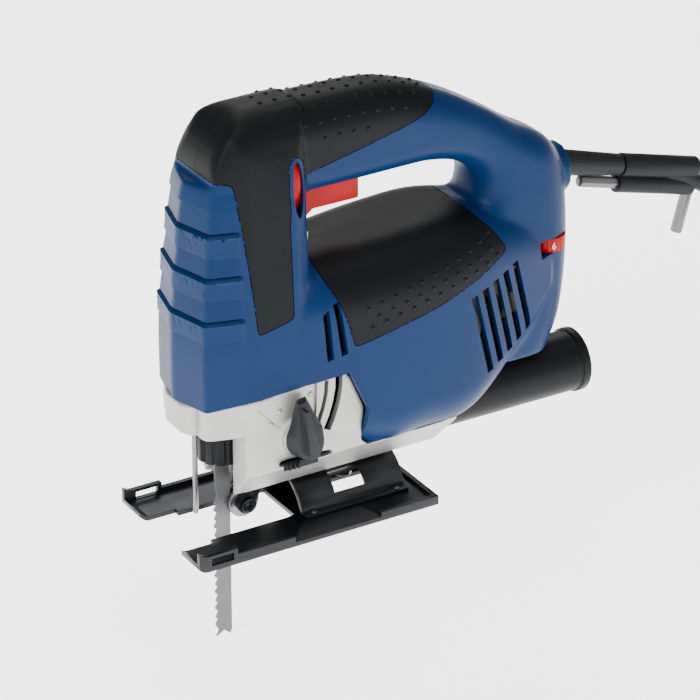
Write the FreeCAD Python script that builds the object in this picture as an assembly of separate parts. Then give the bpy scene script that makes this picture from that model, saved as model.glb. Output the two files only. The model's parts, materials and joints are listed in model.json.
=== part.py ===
import FreeCAD, Part
import math
import os
from FreeCAD import Vector as V

# Corded jigsaw, about 200 mm tall, in millimetres.
# The front (blade end) faces -X, the handle is up (+Z), and the lever side faces -Y.
# Everything is drawn from the blade axis on the sole plane; save() moves it to the
# origin, which lies on the sole behind the blade, where the foot plate has metal.
blade_to_origin = 34.0

# Fits and walls
clear = 0.3            # gap between pieces that move past each other
fit = 0.05             # radial play of a running fit
snug = 0.02            # radial play of a fixed fit
wall = 3.2             # moulded housing wall
grip_thick = 1.4       # soft overmould, let into the wall
case_wall = 3.0        # cast gear case wall

# Housing outer shape
nose_x = -21.0         # front face of the nose
nose_half = 20.0       # half width of the nose's front facets
cheek_x = 3.0          # where the nose facets meet the side
cheek_half = 27.5      # half width there
column_back = 35.0     # back of the front column, front of the finger opening
column_half = 30.5     # half width of the column's back edge
body_half = 38.0       # half width of the motor barrel
handle_half = 18.5     # half width of the handle bar
handle_top = 201.0
handle_under = 159.0   # underside of the handle bar
hump_top = 130.0       # top of the motor barrel, bottom of the finger opening
rear_x = 180.5         # back of the rear column
rear_half = 21.0       # half width of the rear column
body_low = 32.0        # lower edge of the motor barrel

# Motor and drive train
motor_z = 86.0
shaft_r = 4.0
bearing_r = 11.0
bearing_len = 7.0
stator_r = 31.0
stator_x = 78.0
stator_len = 38.0
armature_r = 19.0
air_gap = 0.6
fan_r = 32.0
fan_x = 58.0
fan_len = 11.0
commutator_r = 12.0
module = 1.0
pinion_teeth = 12
gear_teeth = 40
gear_x = 14.0
gear_len = 6.0
gear_centre = module * (pinion_teeth + gear_teeth) / 2
gear_z = motor_z + gear_centre
shield_x = 28.0        # bearing shield between gears and motor
shield_len = 11.0

# Stroke rod, clamp and blade
stroke = 20.0
rod_r = 5.0
rod_low = 49.0
rod_high = 151.0
pin_r = 3.0
bush_low_z = 61.0
bush_high_z = 136.0
bush_len = 7.0
bush_wall = 2.0
collar_r = 10.7
collar_low = 34.0
collar_high = 50.0
blade_low = -58.0
blade_width = 8.0
blade_thick = 1.2
blade_top = 42.0
tooth_pitch = 4.2
tooth_depth = 1.6

# Pendulum and roller
roller_x = 9.8
roller_z = 9.0
roller_r = 7.5
roller_half = 3.0
groove_r = 5.4
fork_x = 22.0
fork_z = 40.0
fork_half = 6.2

# Gear case
case_low = 18.4
case_front_low = 54.0
case_back = 104.0
case_base_half = 30.0
chamfer_rise = 7.2     # the lower flanks keep z above |y| by this, to let the foot tilt

# Foot
foot_front = -31.0
foot_back = 91.0
foot_half = 36.0
plate_thick = 2.2
rim_thick = 2.4
slot_half = 14.6
slot_back = 24.0
bracket_r = case_low - 0.4
bracket_thick = 2.4
bracket_x = 31.0
bracket_len = 53.0
foot_travel = 10.0
clamp_x = 62.0

# Dust tube
tube_z = 32.5
tube_r = 14.2
tube_bore_r = 12.0
tube_x = 106.0
tube_shoulder = 1.0
spigot_bore_r = tube_bore_r - 2.2
tube_end = 187.0

# Controls
trigger_x = 36.0
trigger_len = 30.0
trigger_half = 8.0
trigger_low = 148.0
trigger_high = 170.0
lock_x = 26.5
lock_low = 153.0
lock_high = 177.0
lock_half = 2.6
lever_x = 24.0
lever_z = 51.0
lever_r = 9.5
lever_reach = 20.0
slide_x = 14.0
slide_z = 36.6
slide_len = 17.0
slide_travel = 8.0
dial_r = 9.0
dial_x = rear_x - 19
dial_low = 101.5
dial_high = 108.0

# Mains cord
cord_r = 3.75
exit_z = 133.0
droop = math.radians(15)
sleeve_root_r = 6.5
sleeve_len = 33.0
floor_z = -60.0
coil_turns_wide = 3
coil_mid_r = 41.0
coil_x = 350.0
coil_y = 2.0
key_across = 5.0
plug_r = 11.5


# Screws that join the two halves, by x and z
screw_places = [(29, 147.6), (101, 171), (155, 121), (163, 68), (48, 121.8)]
boss_r = 4.0
screw_r = 1.6
screw_head_r = 3.2

# Further places along the drive train
bearing_back = 143.0
spindle_r = 4.0
yoke_back = 9.2
commutator_x = 123.5
commutator_len = 14.0

# Vents, guard, fence windows, switch, dial and key
vent_count = 5
guard_x = -13.0
fence_low = 2.6
fence_high = 6.2
switch_low = 175.2
dial_y = -11.6
key_drop = 8.6
key_start = 13.0
key_len = 66.0
clip_len = 43.0

def box(x0, x1, y0, y1, z0, z1):
    return Part.makeBox(x1 - x0, y1 - y0, z1 - z0, V(x0, y0, z0))


def slab(x0, x1, half, z0, z1):
    return box(x0, x1, -half, half, z0, z1)


def rod(axis, radius, start, end, a, b):
    """A cylinder from start to end along x, y or z; a and b are its other two places."""
    base = {"x": V(start, a, b), "y": V(a, start, b), "z": V(a, b, start)}[axis]
    way = {"x": V(1, 0, 0), "y": V(0, 1, 0), "z": V(0, 0, 1)}[axis]
    return Part.makeCylinder(radius, end - start, base, way)


def ring(axis, outer, inner, start, end, a, b):
    return rod(axis, outer, start, end, a, b).cut(rod(axis, inner, start, end, a, b))


def prism(outline, half):
    """A closed x-z outline, extruded to both sides of the centre plane."""
    wire = Part.makePolygon([V(x, -half, z) for x, z in outline + outline[:1]])
    return Part.Face(wire).extrude(V(0, 2 * half, 0))


def mirrored(shape):
    return shape.mirror(V(0, 0, 0), V(0, 1, 0))


def both_sides(shape):
    return shape.fuse(mirrored(shape))


def joined(shapes):
    return shapes[0].fuse(shapes[1:]).removeSplitter()


def solid_parts(shape, smallest=1.0):
    """The shape's solids as one compound, without slivers of the cuts."""
    return Part.makeCompound([s for s in shape.Solids if s.Volume > smallest])


def save(node, shape):
    placed = solid_parts(shape)
    placed.translate(V(-blade_to_origin, 0, 0))
    placed = Part.makeCompound(placed.Solids) if len(placed.Solids) > 1 else placed.Solids[0]
    if not placed.isValid():
        print("not valid:", node)
    placed.exportStep(f"parts/{node}.step")


# ---------------------------------------------------------------- outer body

def rounded_section(x, z, tilt, half_high, half_wide, corner):
    """A rounded rectangle whose plane is normal to the x-z direction at angle tilt."""
    up = V(-math.sin(tilt), 0, math.cos(tilt))
    side = V(0, 1, 0)
    centre = V(x, 0, z)
    edges = []
    for quarter in range(4):
        turn = math.radians(90 * quarter)
        sign_up = 1 if quarter in (0, 1) else -1
        sign_side = 1 if quarter in (0, 3) else -1
        hub = centre + up * (sign_up * (half_high - corner)) + side * (sign_side * (half_wide - corner))

        def rim(angle):
            return hub + side * (corner * math.cos(angle)) + up * (corner * math.sin(angle))
        arc = Part.Arc(rim(turn), rim(turn + math.pi / 4), rim(turn + math.pi / 2)).toShape()
        if edges:
            edges.append(Part.makeLine(edges[-1].Vertexes[-1].Point, arc.Vertexes[0].Point))
        edges.append(arc)
    edges.append(Part.makeLine(edges[-1].Vertexes[-1].Point, edges[0].Vertexes[0].Point))
    return Part.Wire(edges)


def lofted(stations, inset):
    """Straight-sided loft; a station is x, z, tilt, half height, half width and corner radius."""
    wires = []
    for x, z, tilt, high, wide, corner in stations:
        wires.append(rounded_section(x, z, math.radians(tilt), high - inset, wide - inset, corner - inset))
    return Part.makeLoft(wires, True, True)


def handle_loop(inset):
    """Handle bar and rear column: one bent bar that is slimmest at the web of the hand."""
    bar_half = (handle_top - handle_under) / 2
    bar_z = (handle_top + handle_under) / 2
    neck_x = rear_x - 47
    column_x = rear_x - 31
    stations = [
        (column_back - 15 + inset, bar_z, 0, bar_half, handle_half, 15),
        (column_back + 33, bar_z - 0.3, -4, bar_half - 0.4, handle_half, 15),
        (rear_x - 93, bar_z - 3, -12, bar_half - 1.8, handle_half - 0.3, 15),
        (rear_x - 74, bar_z - 8.3, -22, 16.6, handle_half - 0.6, 14),
        (rear_x - 56, bar_z - 16.6, -36, 14.6, handle_half - 1, 13),
        (neck_x + 4, bar_z - 26.5, -50, 16.5, handle_half, 14),
        (column_x - 1, bar_z - 39.5, -70, 26.5, rear_half - 1.5, 15),
        (column_x + 1, motor_z + 38, -88, 30.5, rear_half - 0.5, 15),
        (column_x + 1, motor_z + 10, -90, 30, rear_half, 15),
        (column_x, tube_z + 36, -90, 27.5, rear_half - 0.5, 15),
        (column_x - 3, tube_z + 18 + inset, -90, 21.5, rear_half - 2, 15),
    ]
    return lofted(stations, inset)


def barrel(inset):
    """The wide housing round the motor, higher than it is wide."""
    def station(x, low, high, half):
        return (x, (low + high) / 2, 0, (high - low) / 2, half, 24)
    stations = [
        station(column_back - 10 + inset, body_low + 24, hump_top - 3, column_half + 0.5),
        station(fan_x, body_low, hump_top - 1.5, body_half - 2),
        station(stator_x + 8, body_low, hump_top, body_half),
        station(case_back + 8, body_low + 2, hump_top + 1, body_half - 1.5),
        station(rear_x - 42, body_low + 19, hump_top - 3, body_half - 9),
        station(rear_x - 22 - inset, body_low + 34, hump_top - 12, body_half - 16),
    ]
    return lofted(stations, inset)


def nose_wire(z, front, shrink, inset):
    """Plan of the faceted front column at one height; shrink narrows it towards the top."""
    points = [
        (front + inset, -nose_half * shrink * 0.32),
        (front + 6 + inset * 0.6, -nose_half * shrink + inset * 0.8),
        (cheek_x + inset * 0.2, -cheek_half * shrink + inset),
        (column_back - inset, -column_half * shrink + inset),
    ]
    points += [(x, -y) for x, y in reversed(points)]
    return Part.makePolygon([V(x, y, z) for x, y in points + points[:1]])


def front_column(inset):
    """The tall faceted nose, which narrows and leans back towards the handle."""
    wires = [
        nose_wire(case_front_low, nose_x, 1.0, inset),
        nose_wire(motor_z + 14, nose_x, 1.0, inset),
        nose_wire(motor_z + 58, nose_x + 4, 0.9, inset),
        nose_wire(handle_top - 24, nose_x + 8.5, 0.78, inset),
        nose_wire(handle_top, nose_x + 22, 0.62, inset),
    ]
    tower = Part.makeLoft(wires, True, True)
    crown = rod("y", 30 - inset, -60, 60, 19, handle_top - 30)
    below = box(nose_x - 5, column_back, -60, 60, case_front_low - 1, handle_top - 30)
    behind = box(19, column_back, -60, 60, case_front_low - 1, handle_top - inset)
    soft_top = lofted([
        (nose_x - 9, 100, 0, handle_top - 100, 36, 16),
        (column_back + 1, 100, 0, handle_top - 100, 36, 16),
    ], inset)
    return tower.common(joined([crown, below, behind])).common(soft_top)


def body(inset):
    """The whole outer body, or its shape set in by one thickness."""
    return joined([front_column(inset), barrel(inset), handle_loop(inset)])


# ------------------------------------------------------- regions of the skin

def case_region(margin):
    """Side outline of what belongs to the gear case and not to the moulded housing."""
    return prism([
        (nose_x - 20, case_front_low + 12 + margin),
        (46 + margin, 77.5 + margin),
        (55 + margin, 57),
        (53.5 + margin, 41 + margin),
        (58, 36.5 + margin),
        (case_back + margin, 38.5 + margin),
        (case_back + margin, -5),
        (nose_x - 20, -5),
    ], 60)


def handle_grip_region():
    return prism([
        (-30, handle_top - 14),
        (-13, handle_top - 25),
        (-3, handle_top - 33),
        (2.0, motor_z + 44),
        (4.5, motor_z + 17),
        (20.5, motor_z + 22),
        (20.5, motor_z + 78),
        (33, handle_top - 32),
        (93, handle_top - 18.5),
        (108, handle_top - 10),
        (112, handle_top + 20),
        (-30, handle_top + 20),
    ], 60)


def body_grip_region():
    return prism([
        (27, hump_top + 6),
        (36.5, motor_z + 35),
        (44, motor_z + 22),
        (46.5, motor_z + 11),
        (48.5, motor_z + 4),
        (90, motor_z + 15),
        (129, motor_z + 30),
        (124, hump_top - 5),
        (112, hump_top + 6),
    ], 60)


def front_cover_region():
    return prism([
        (nose_x - 20, case_front_low + 12),
        (cheek_x + 0.6, case_front_low + 16.4),
        (cheek_x - 0.2, motor_z + 22),
        (cheek_x - 1.4, motor_z + 44),
        (-3, handle_top - 33),
        (-13, handle_top - 25),
        (nose_x - 20, handle_top - 5),
    ], 60)


def side_halves(shape):
    left = shape.common(box(-60, 240, -60, 0, -5, 240))
    right = shape.common(box(-60, 240, 0, 60, -5, 240))
    return left, right


# ------------------------------------------------------------ housing halves


def screw_bosses():
    return [rod("y", boss_r, -50, 50, x, z) for x, z in screw_places]


def inner_ribs(cavity):
    """Ribs that carry the stator, the rear bearing, the shield, the board and the switch."""
    slabs = [
        slab(stator_x + 4, stator_x + 7, 60, 0, 240),
        slab(stator_x + stator_len - 7, stator_x + stator_len - 4, 60, 0, 240),
    ]
    ribs = [s.common(cavity).cut(rod("x", stator_r + snug, 0, 200, 0, motor_z)) for s in slabs]
    seat = slab(bearing_back, bearing_back + bearing_len, 60, motor_z - 17, motor_z + 17)
    ribs.append(seat.common(cavity).cut(rod("x", bearing_r + snug, 0, 200, 0, motor_z)))
    return ribs


def rear_vents():
    """Five long leaning slots beside the motor, through both walls."""
    cuts = []
    for i in range(vent_count):
        x = 106 + 6.3 * i
        z_top = 99 + 2 * i
        z_low = 59 + 2.8 * i
        cuts.append(prism([(x, z_top), (x + 3.4, z_top + 1), (x + 14, z_low + 1), (x + 10.6, z_low)], 60))
    return cuts


def front_vents():
    return [
        prism([(33.5, 107), (36.5, 109), (38.5, 85.5), (35.5, 84.5)], 60),
        prism([(38.5, 111), (41.5, 112), (45.0, 87), (42.0, 86)], 60),
    ]


def housing_halves(outer, cavity):
    shell = outer.cut(cavity)
    supports = [b.common(cavity) for b in screw_bosses()] + inner_ribs(cavity)
    shell = shell.fuse(supports)
    grip_bed = body(grip_thick)
    for region in (handle_grip_region(), body_grip_region()):
        shell = shell.cut(region.common(outer).cut(grip_bed))
    cuts = [case_region(0), front_cover_region(), tube_channel(clear)]
    cuts += rear_vents() + front_vents()
    cuts.append(slab(trigger_x - clear, trigger_x + trigger_len + clear, trigger_half + clear,
                     handle_under - 15, handle_under + 8))
    cuts.append(rod("x", sleeve_root_r + fit, rear_x - 12, rear_x + 20, 0, exit_z + 1))
    cuts.append(box(dial_x - dial_r - 1, dial_x + dial_r + 1, -60, -8, dial_low - clear, dial_high + clear))
    cuts.append(box(lock_x - lock_half - clear, lock_x + lock_half + clear, -60, -8,
                    lock_low - clear, lock_high + clear))
    cuts += [rod("y", screw_r + snug, -14, 60, x, z) for x, z in screw_places]
    cuts += [rod("y", screw_head_r + clear, 12, 60, x, z) for x, z in screw_places]
    cuts += inner_clearances()
    for cut in cuts:
        shell = shell.cut(cut)
    return side_halves(shell)


def inner_clearances():
    """Room inside the halves for the shield, the brushes, the switch and the board."""
    return [
        rod("x", bearing_r + snug, bearing_back, bearing_back + bearing_len, 0, motor_z),
        slab(trigger_x - 2, 80, 9.5, 169, 193),
    ]


def tube_channel(gap):
    return rod("x", tube_r + gap, case_back, 260, 0, tube_z)


def housing_screws():
    screws = []
    for x, z in screw_places:
        shank = rod("y", screw_r, -12, 12, x, z)
        head = rod("y", screw_head_r, 12, 14, x, z)
        drive = rod("y", 1.1, 13, 15, x, z)
        screws.append(shank.fuse(head).cut(drive))
    return Part.makeCompound(screws)


def grips(outer, region):
    skin = outer.cut(body(grip_thick)).common(region)
    for vent in front_vents() + rear_vents():
        skin = skin.cut(vent)
    skin = skin.cut(slab(trigger_x - clear, trigger_x + trigger_len + clear, trigger_half + clear,
                         handle_under - 15, handle_under + 8))
    skin = skin.cut(box(lock_x - lock_half - clear, lock_x + lock_half + clear, -60, 0,
                        lock_low - clear, lock_high + clear))
    for x, z in screw_places:
        skin = skin.cut(rod("y", screw_head_r + clear, 5, 60, x, z))
    return side_halves(skin)


def front_cover(outer, cavity):
    """The cover that wraps round the nose between the gear case and the handle grip."""
    cover = outer.cut(cavity).common(front_cover_region())
    return cover.cut(case_region(0))


# ------------------------------------------------------------------ gear case

def case_plan(inset):
    points = [
        (nose_x + inset, -nose_half * 0.32),
        (nose_x + 6 + inset * 0.6, -nose_half + inset * 0.8),
        (cheek_x + inset * 0.2, -cheek_half + inset),
        (60, -column_half - 1 + inset),
        (case_back - inset, -case_base_half + inset),
    ]
    points += [(x, -y) for x, y in reversed(points)]
    return Part.Face(Part.makePolygon([V(x, y, 0) for x, y in points + points[:1]]))


def flank_limit(rise):
    """All space that keeps above the two 45 degree lines z = |y| + rise."""
    top = 120
    wire = Part.makePolygon([V(-60, 0, rise), V(-60, top - rise, top), V(-60, rise - top, top),
                             V(-60, 0, rise)])
    return Part.Face(wire).extrude(V(240, 0, 0))


def gear_case():
    """Cast tub: nose with an open collar well, two cheeks for the fork, and a long base."""
    outer = case_plan(0).extrude(V(0, 0, 100)).common(case_region(0)).common(flank_limit(chamfer_rise))
    outer = outer.cut(slab(-60, -1, 60, -5, case_front_low)).cut(slab(-60, 200, 60, -5, case_low))
    hollow = case_plan(case_wall).extrude(V(0, 0, 100)).common(flank_limit(chamfer_rise + 1.5 * case_wall))
    nose_room = hollow.common(slab(-60, 26, 60, bush_low_z + bush_len - 1, 120))
    back_room = hollow.common(slab(34, 200, 60, case_low + case_wall, 120))
    tub = outer.cut(nose_room).cut(back_room)
    tub = tub.cut(slab(25, 35, 24, 60, 120))
    well = rod("z", collar_r + 1.3, 0, collar_high + stroke / 2 + 0.6, 0, 0)
    pocket = slab(-25, fork_x + 10, fork_half + 1.6, 0, fork_z + 10)
    tub = tub.cut(well).cut(pocket)
    bush_hole = rod("z", rod_r + bush_wall + snug, 50, 90, 0, 0)
    pin_hole = rod("y", 2.5 + snug, -16, 16, fork_x, fork_z)
    lever_hole = rod("y", 3.5 + fit, -60, 0, lever_x, lever_z)
    pad = rod("y", lever_r, -cheek_half - 4.2, -cheek_half + 2, lever_x, lever_z)
    tub = tub.fuse(pad).cut(bush_hole).cut(pin_hole).cut(lever_hole)
    slot = box(slide_x - clear, slide_x + slide_len + slide_travel + clear, -60, -20,
               slide_z + 0.6 - clear, slide_z + 2.4 + clear)
    screw_boss = rod("z", 7, case_low, case_low + 12, clamp_x, 0)
    screw_hole = rod("z", 2.5 + fit, 0, case_low + 10, clamp_x, 0)
    rod_hole = rod("z", 1.25 + snug, 40, case_front_low + 9, guard_x, 0)
    duct = rod("x", tube_bore_r, case_back - 8, 120, 0, tube_z)
    cam_room = rod("y", 6.2, -21.4, 0, lever_x, lever_z)
    tub = tub.cut(slot).cut(cam_room)
    return tub.fuse(screw_boss).cut(screw_hole).cut(rod_hole).cut(duct).cut(case_screw_cuts())


def case_screw_places():
    return [(-9, 15), (-9, -15), (40, 24), (40, -24)]


def case_screw_cuts():
    return Part.makeCompound([rod("z", 1.6 + snug, 57, 90, x, y) for x, y in case_screw_places()])


def guard_rod():
    """Bent steel wire that keeps fingers off the front of the blade."""
    return rod("z", 1.25, 8.5, case_front_low + 8.5, guard_x, 0)


def bush(low):
    return ring("z", rod_r + bush_wall, rod_r + fit, low, low + bush_len, 0, 0)


def bearing_shield():
    """Cast plate that carries the front bearing, the gear spindle and the upper rod bush."""
    plate = slab(shield_x, shield_x + shield_len, 23, 62, 149)
    plate = plate.common(body(wall + clear)).cut(case_region(0).fuse(slab(-60, 60, 60, 0, 64)))
    for x, z in screw_places:
        plate = plate.cut(rod("y", boss_r + clear, -60, 60, x, z))
    arm = slab(-9, shield_x + 2, 10, bush_high_z, bush_high_z + bush_len)
    head = rod("z", rod_r + bush_wall + 2.4, bush_high_z, bush_high_z + bush_len, 0, 0)
    shield = plate.fuse([arm, head])
    shield = shield.cut(rod("z", rod_r + bush_wall + snug, 120, 160, 0, 0))
    shield = shield.cut(rod("x", bearing_r + snug, shield_x + 2, 60, 0, motor_z))
    shield = shield.cut(rod("x", shaft_r + 1, 20, 60, 0, motor_z))
    return shield.cut(rod("x", spindle_r + snug, 20, shield_x + 9, 0, gear_z))


# ---------------------------------------------------------------- drive train

def involute_gear(teeth, length, bore, phase):
    """Spur gear along x with 25 degree flanks; phase turns it, in teeth."""
    pressure = math.radians(25)
    pitch_r = module * teeth / 2
    base_r = pitch_r * math.cos(pressure)
    tip_r = pitch_r + 0.9 * module
    root_r = pitch_r - 1.2 * module
    backlash = 0.16

    def half_angle(radius):
        if radius < base_r:
            radius = base_r
        roll = math.acos(base_r / radius)
        width = (math.pi * module / 2 - backlash / 2) / pitch_r / 2
        return width + (math.tan(pressure) - pressure) - (math.tan(roll) - roll)
    radii = [root_r, max(base_r, root_r + 0.05), pitch_r, pitch_r + 0.45 * module, tip_r]
    outline = []
    for tooth in range(teeth):
        middle = 2 * math.pi * (tooth + phase) / teeth
        flank = [(r, half_angle(r)) for r in radii]
        outline += [(r, middle - a) for r, a in flank]
        outline += [(r, middle + a) for r, a in reversed(flank)]
    points = [V(0, r * math.cos(a), r * math.sin(a)) for r, a in outline]
    face = Part.Face(Part.makePolygon(points + points[:1]))
    return face.extrude(V(length, 0, 0)).cut(rod("x", bore, 0, length, 0, 0))


def drive_pinion():
    gear = involute_gear(pinion_teeth, gear_len + 2, 3 + snug, 0.25 * pinion_teeth)
    gear.translate(V(gear_x - 1, 0, motor_z))
    return gear


def drive_gear():
    """The gear's tooth gap faces straight down, onto the pinion's top tooth."""
    gear = involute_gear(gear_teeth, gear_len, spindle_r + fit, 0.75 * gear_teeth + 0.5)
    for i in range(6):
        turn = math.radians(60 * i + 30)
        hole = rod("x", 3.2, -1, gear_len + 1, 11.5 * math.cos(turn), 11.5 * math.sin(turn))
        gear = gear.cut(hole)
    gear.translate(V(gear_x, 0, gear_z))
    return gear.cut(rod("x", pin_r + snug, gear_x - 1, gear_x + 3, stroke / 2, gear_z))


def eccentric_pin():
    return rod("x", pin_r, yoke_back + 0.4, gear_x + 3, stroke / 2, gear_z)


def gear_spindle():
    return rod("x", spindle_r, gear_x - 0.6, shield_x + 9, 0, gear_z)


def stroke_rod():
    tube = rod("z", rod_r, rod_low, rod_high, 0, 0)
    flat = box(rod_r - 0.9, rod_r + 1, -rod_r, rod_r, gear_z - 9, gear_z + 9)
    return tube.cut(flat).cut(rod("z", 2.6, rod_low - 1, rod_low + 6, 0, 0))


def yoke():
    """Crosshead with the level slot in which the eccentric pin runs."""
    reach = stroke / 2 + pin_r + 2.8
    block = slab(rod_r - 0.9 + snug, yoke_back, reach, gear_z - pin_r - 3, gear_z + pin_r + 3)
    slot = slab(rod_r + 1.2, yoke_back + 1, stroke / 2 + pin_r + 0.4,
                gear_z - pin_r - fit, gear_z + pin_r + fit)
    return block.cut(slot)


def armature_shaft():
    front = rod("x", 3, gear_x - 2, shield_x - 4, 0, motor_z)
    shaft = rod("x", shaft_r, shield_x - 4, bearing_back + bearing_len + 1, 0, motor_z)
    return front.fuse(shaft).removeSplitter()


def bearing(start):
    races = ring("x", bearing_r, shaft_r + fit, start, start + bearing_len, 0, motor_z)
    end = start + bearing_len
    groove = ring("x", bearing_r - 2.2, shaft_r + 2.2, end - 0.5, end, 0, motor_z)
    return races.cut(groove)


def cooling_fan():
    hub = ring("x", 9, shaft_r + snug, fan_x, fan_x + fan_len, 0, motor_z)
    disc = ring("x", fan_r, shaft_r + snug, fan_x, fan_x + 1.6, 0, motor_z)
    blades = []
    for i in range(18):
        blade = box(fan_x + 1, fan_x + fan_len - 1, 8.5, fan_r - 0.8, -0.6, 0.6)
        blade.rotate(V(0, 12, 0), V(1, 0, 0), 28)
        blade = blade.common(rod("x", fan_r - 0.5, 0, 200, 0, 0))
        blade.rotate(V(0, 0, 0), V(1, 0, 0), 20 * i)
        blade.translate(V(0, 0, motor_z))
        blades.append(blade)
    fan = hub.fuse([disc] + blades)
    return fan.cut(rod("x", shaft_r + snug, 0, 200, 0, motor_z))


def armature_core():
    core = ring("x", armature_r, shaft_r + snug, stator_x, stator_x + stator_len, 0, motor_z)
    for i in range(12):
        turn = math.radians(30 * i)
        y = 14.2 * math.cos(turn)
        z = motor_z + 14.2 * math.sin(turn)
        core = core.cut(rod("x", 2.6, 0, 200, y, z))
    return core


def armature_windings():
    """Copper end turns, joined by the bundles that lie in the core's slots."""
    front = ring("x", 17.2, shaft_r + 2, stator_x - 6.5, stator_x, 0, motor_z)
    back = ring("x", 16.6, shaft_r + 2, stator_x + stator_len, stator_x + stator_len + 6, 0, motor_z)
    bundles = []
    for i in range(12):
        turn = math.radians(30 * i)
        y = 14.2 * math.cos(turn)
        z = motor_z + 14.2 * math.sin(turn)
        bundles.append(rod("x", 2.6 - snug, stator_x - 1, stator_x + stator_len + 1, y, z))
    return front.fuse([back] + bundles)


def commutator():
    drum = ring("x", commutator_r, shaft_r + snug, commutator_x, commutator_x + commutator_len, 0, motor_z)
    for i in range(24):
        slit = box(commutator_x + 1, 200, commutator_r - 0.8, commutator_r + 1, -0.2, 0.2)
        slit.rotate(V(0, 0, 0), V(1, 0, 0), 15 * i + 7.5)
        slit.translate(V(0, 0, motor_z))
        drum = drum.cut(slit)
    return drum


def pole_pocket(outer, inner, spread, start, end):
    """The ring sectors above and below the armature, where the field coils lie."""
    sector = ring("x", outer, inner, start, end, 0, motor_z)
    wedge = Part.makePolygon([
        V(start, 0, motor_z),
        V(start, 60 * math.sin(spread), motor_z + 60 * math.cos(spread)),
        V(start, -60 * math.sin(spread), motor_z + 60 * math.cos(spread)),
        V(start, 0, motor_z),
    ])
    upper = Part.Face(wedge).extrude(V(end - start, 0, 0))
    lower = upper.mirror(V(0, 0, motor_z), V(0, 0, 1))
    return sector.common(upper.fuse(lower))


def stator_core():
    core = ring("x", stator_r, armature_r + air_gap, stator_x, stator_x + stator_len, 0, motor_z)
    return core.cut(pole_pocket(26.0, 10, math.radians(52), stator_x, stator_x + stator_len))


def field_coils():
    return pole_pocket(26.0 - clear, armature_r + air_gap + 0.6, math.radians(49),
                       stator_x - 5, stator_x + stator_len + 4)


def brush_boxes():
    """Brass guides for the carbons, each reaching out to the housing wall."""
    body_box = box(commutator_x + 3.5, commutator_x + 11.5, 14.5, 60, motor_z - 5.2, motor_z + 5.2)
    body_box = body_box.common(body(wall + snug))
    room = box(commutator_x + 5 - fit, commutator_x + 10 + fit, 14, 26,
               motor_z - 3.5 - fit, motor_z + 3.5 + fit)
    return both_sides(body_box.cut(room))


def carbon_brushes():
    return both_sides(box(commutator_x + 5, commutator_x + 10, commutator_r + clear, 23,
                          motor_z - 3.5, motor_z + 3.5))


def brush_springs():
    """Coil springs behind the carbons, each drawn as its outer sleeve."""
    spring = ring("y", 2.4, 1.8, 23, 26, commutator_x + 7.5, motor_z)
    return both_sides(spring)


# --------------------------------------------------------- clamp, blade, fork

def clamp_body():
    core = rod("z", 6.4, collar_low - 2, rod_low, 0, 0)
    neck = rod("z", 2.6 - snug, rod_low, rod_low + 5.5, 0, 0)
    slot = box(-blade_width / 2 + 0.4, blade_width / 2 - 0.4, -blade_thick / 2 - snug, blade_thick / 2 + snug,
               collar_low - 3, blade_top + snug)
    return core.fuse(neck).cut(slot)


def clamp_collar():
    """Black turning collar with a small thumb lug at its front."""
    collar = ring("z", collar_r, 6.4 + fit, collar_low, collar_high - 1.5, 0, 0)
    for i in range(12):
        turn = math.radians(30 * i + 15)
        y = (collar_r + 0.5) * math.sin(turn)
        collar = collar.cut(rod("z", 1.1, 0, 100, (collar_r + 0.5) * math.cos(turn), y))
    return collar


def saw_blade():
    """T-shank blade, 100 mm long, with teeth facing forwards."""
    back = blade_width / 2
    front = -blade_width / 2
    shank = blade_width / 2 - 0.5
    tooth_top = 14.0
    count = int((tooth_top - blade_low - 3) / tooth_pitch)
    outline = [(-shank, blade_top), (-shank, blade_top - 14), (front + tooth_depth * 0.4, tooth_top + 6)]
    for i in range(count):
        z = tooth_top - i * tooth_pitch
        outline.append((front + tooth_depth, z))
        outline.append((front, z - tooth_pitch * 0.72))
        outline.append((front + 0.2, z - tooth_pitch * 0.85))
    outline += [(front + tooth_depth, blade_low + 3), (front + 0.5, blade_low), (0, blade_low + 2.5)]
    outline += [(back - 1, blade_low), (back, blade_low + 2), (back, tooth_top + 6)]
    outline += [(shank, blade_top - 14), (shank, blade_top)]
    return prism(outline, blade_thick / 2)


def pendulum_fork():
    """Two cheeks and a bridge; it hangs from its pivot and carries the roller."""
    def cheek(y0, y1):
        top = rod("y", 5, y0, y1, fork_x, fork_z)
        low = rod("y", 4.6, y0, y1, roller_x, roller_z)
        way = math.atan2(fork_z - roller_z, fork_x - roller_x)
        across = V(-math.sin(way), 0, math.cos(way))
        hubs = [V(fork_x, y0, fork_z), V(roller_x, y0, roller_z)]
        corners = [hubs[0] + across * 4.4, hubs[1] + across * 4.0,
                   hubs[1] - across * 4.0, hubs[0] - across * 4.4]
        arm = Part.Face(Part.makePolygon(corners + corners[:1])).extrude(V(0, y1 - y0, 0))
        return joined([top, low, arm])
    bridge = slab(fork_x - 4, fork_x + 4, fork_half, fork_z - 10, fork_z + 3)
    fork = joined([cheek(-fork_half, -roller_half - 0.4), cheek(roller_half + 0.4, fork_half), bridge])
    fork = fork.cut(rod("y", roller_r + 1, -roller_half - 0.4, roller_half + 0.4, roller_x, roller_z))
    fork = fork.cut(rod("y", 2.5 + fit, -20, 20, fork_x, fork_z))
    return fork.cut(rod("y", 2 + snug, -20, 20, roller_x, roller_z))


def guide_roller():
    wheel = rod("y", roller_r, -roller_half, roller_half, roller_x, roller_z)
    half_groove = blade_thick / 2 + clear
    groove = ring("y", roller_r + 1, groove_r, -half_groove, half_groove, roller_x, roller_z)
    return wheel.cut(groove).cut(rod("y", 2 + fit, -10, 10, roller_x, roller_z))


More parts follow.
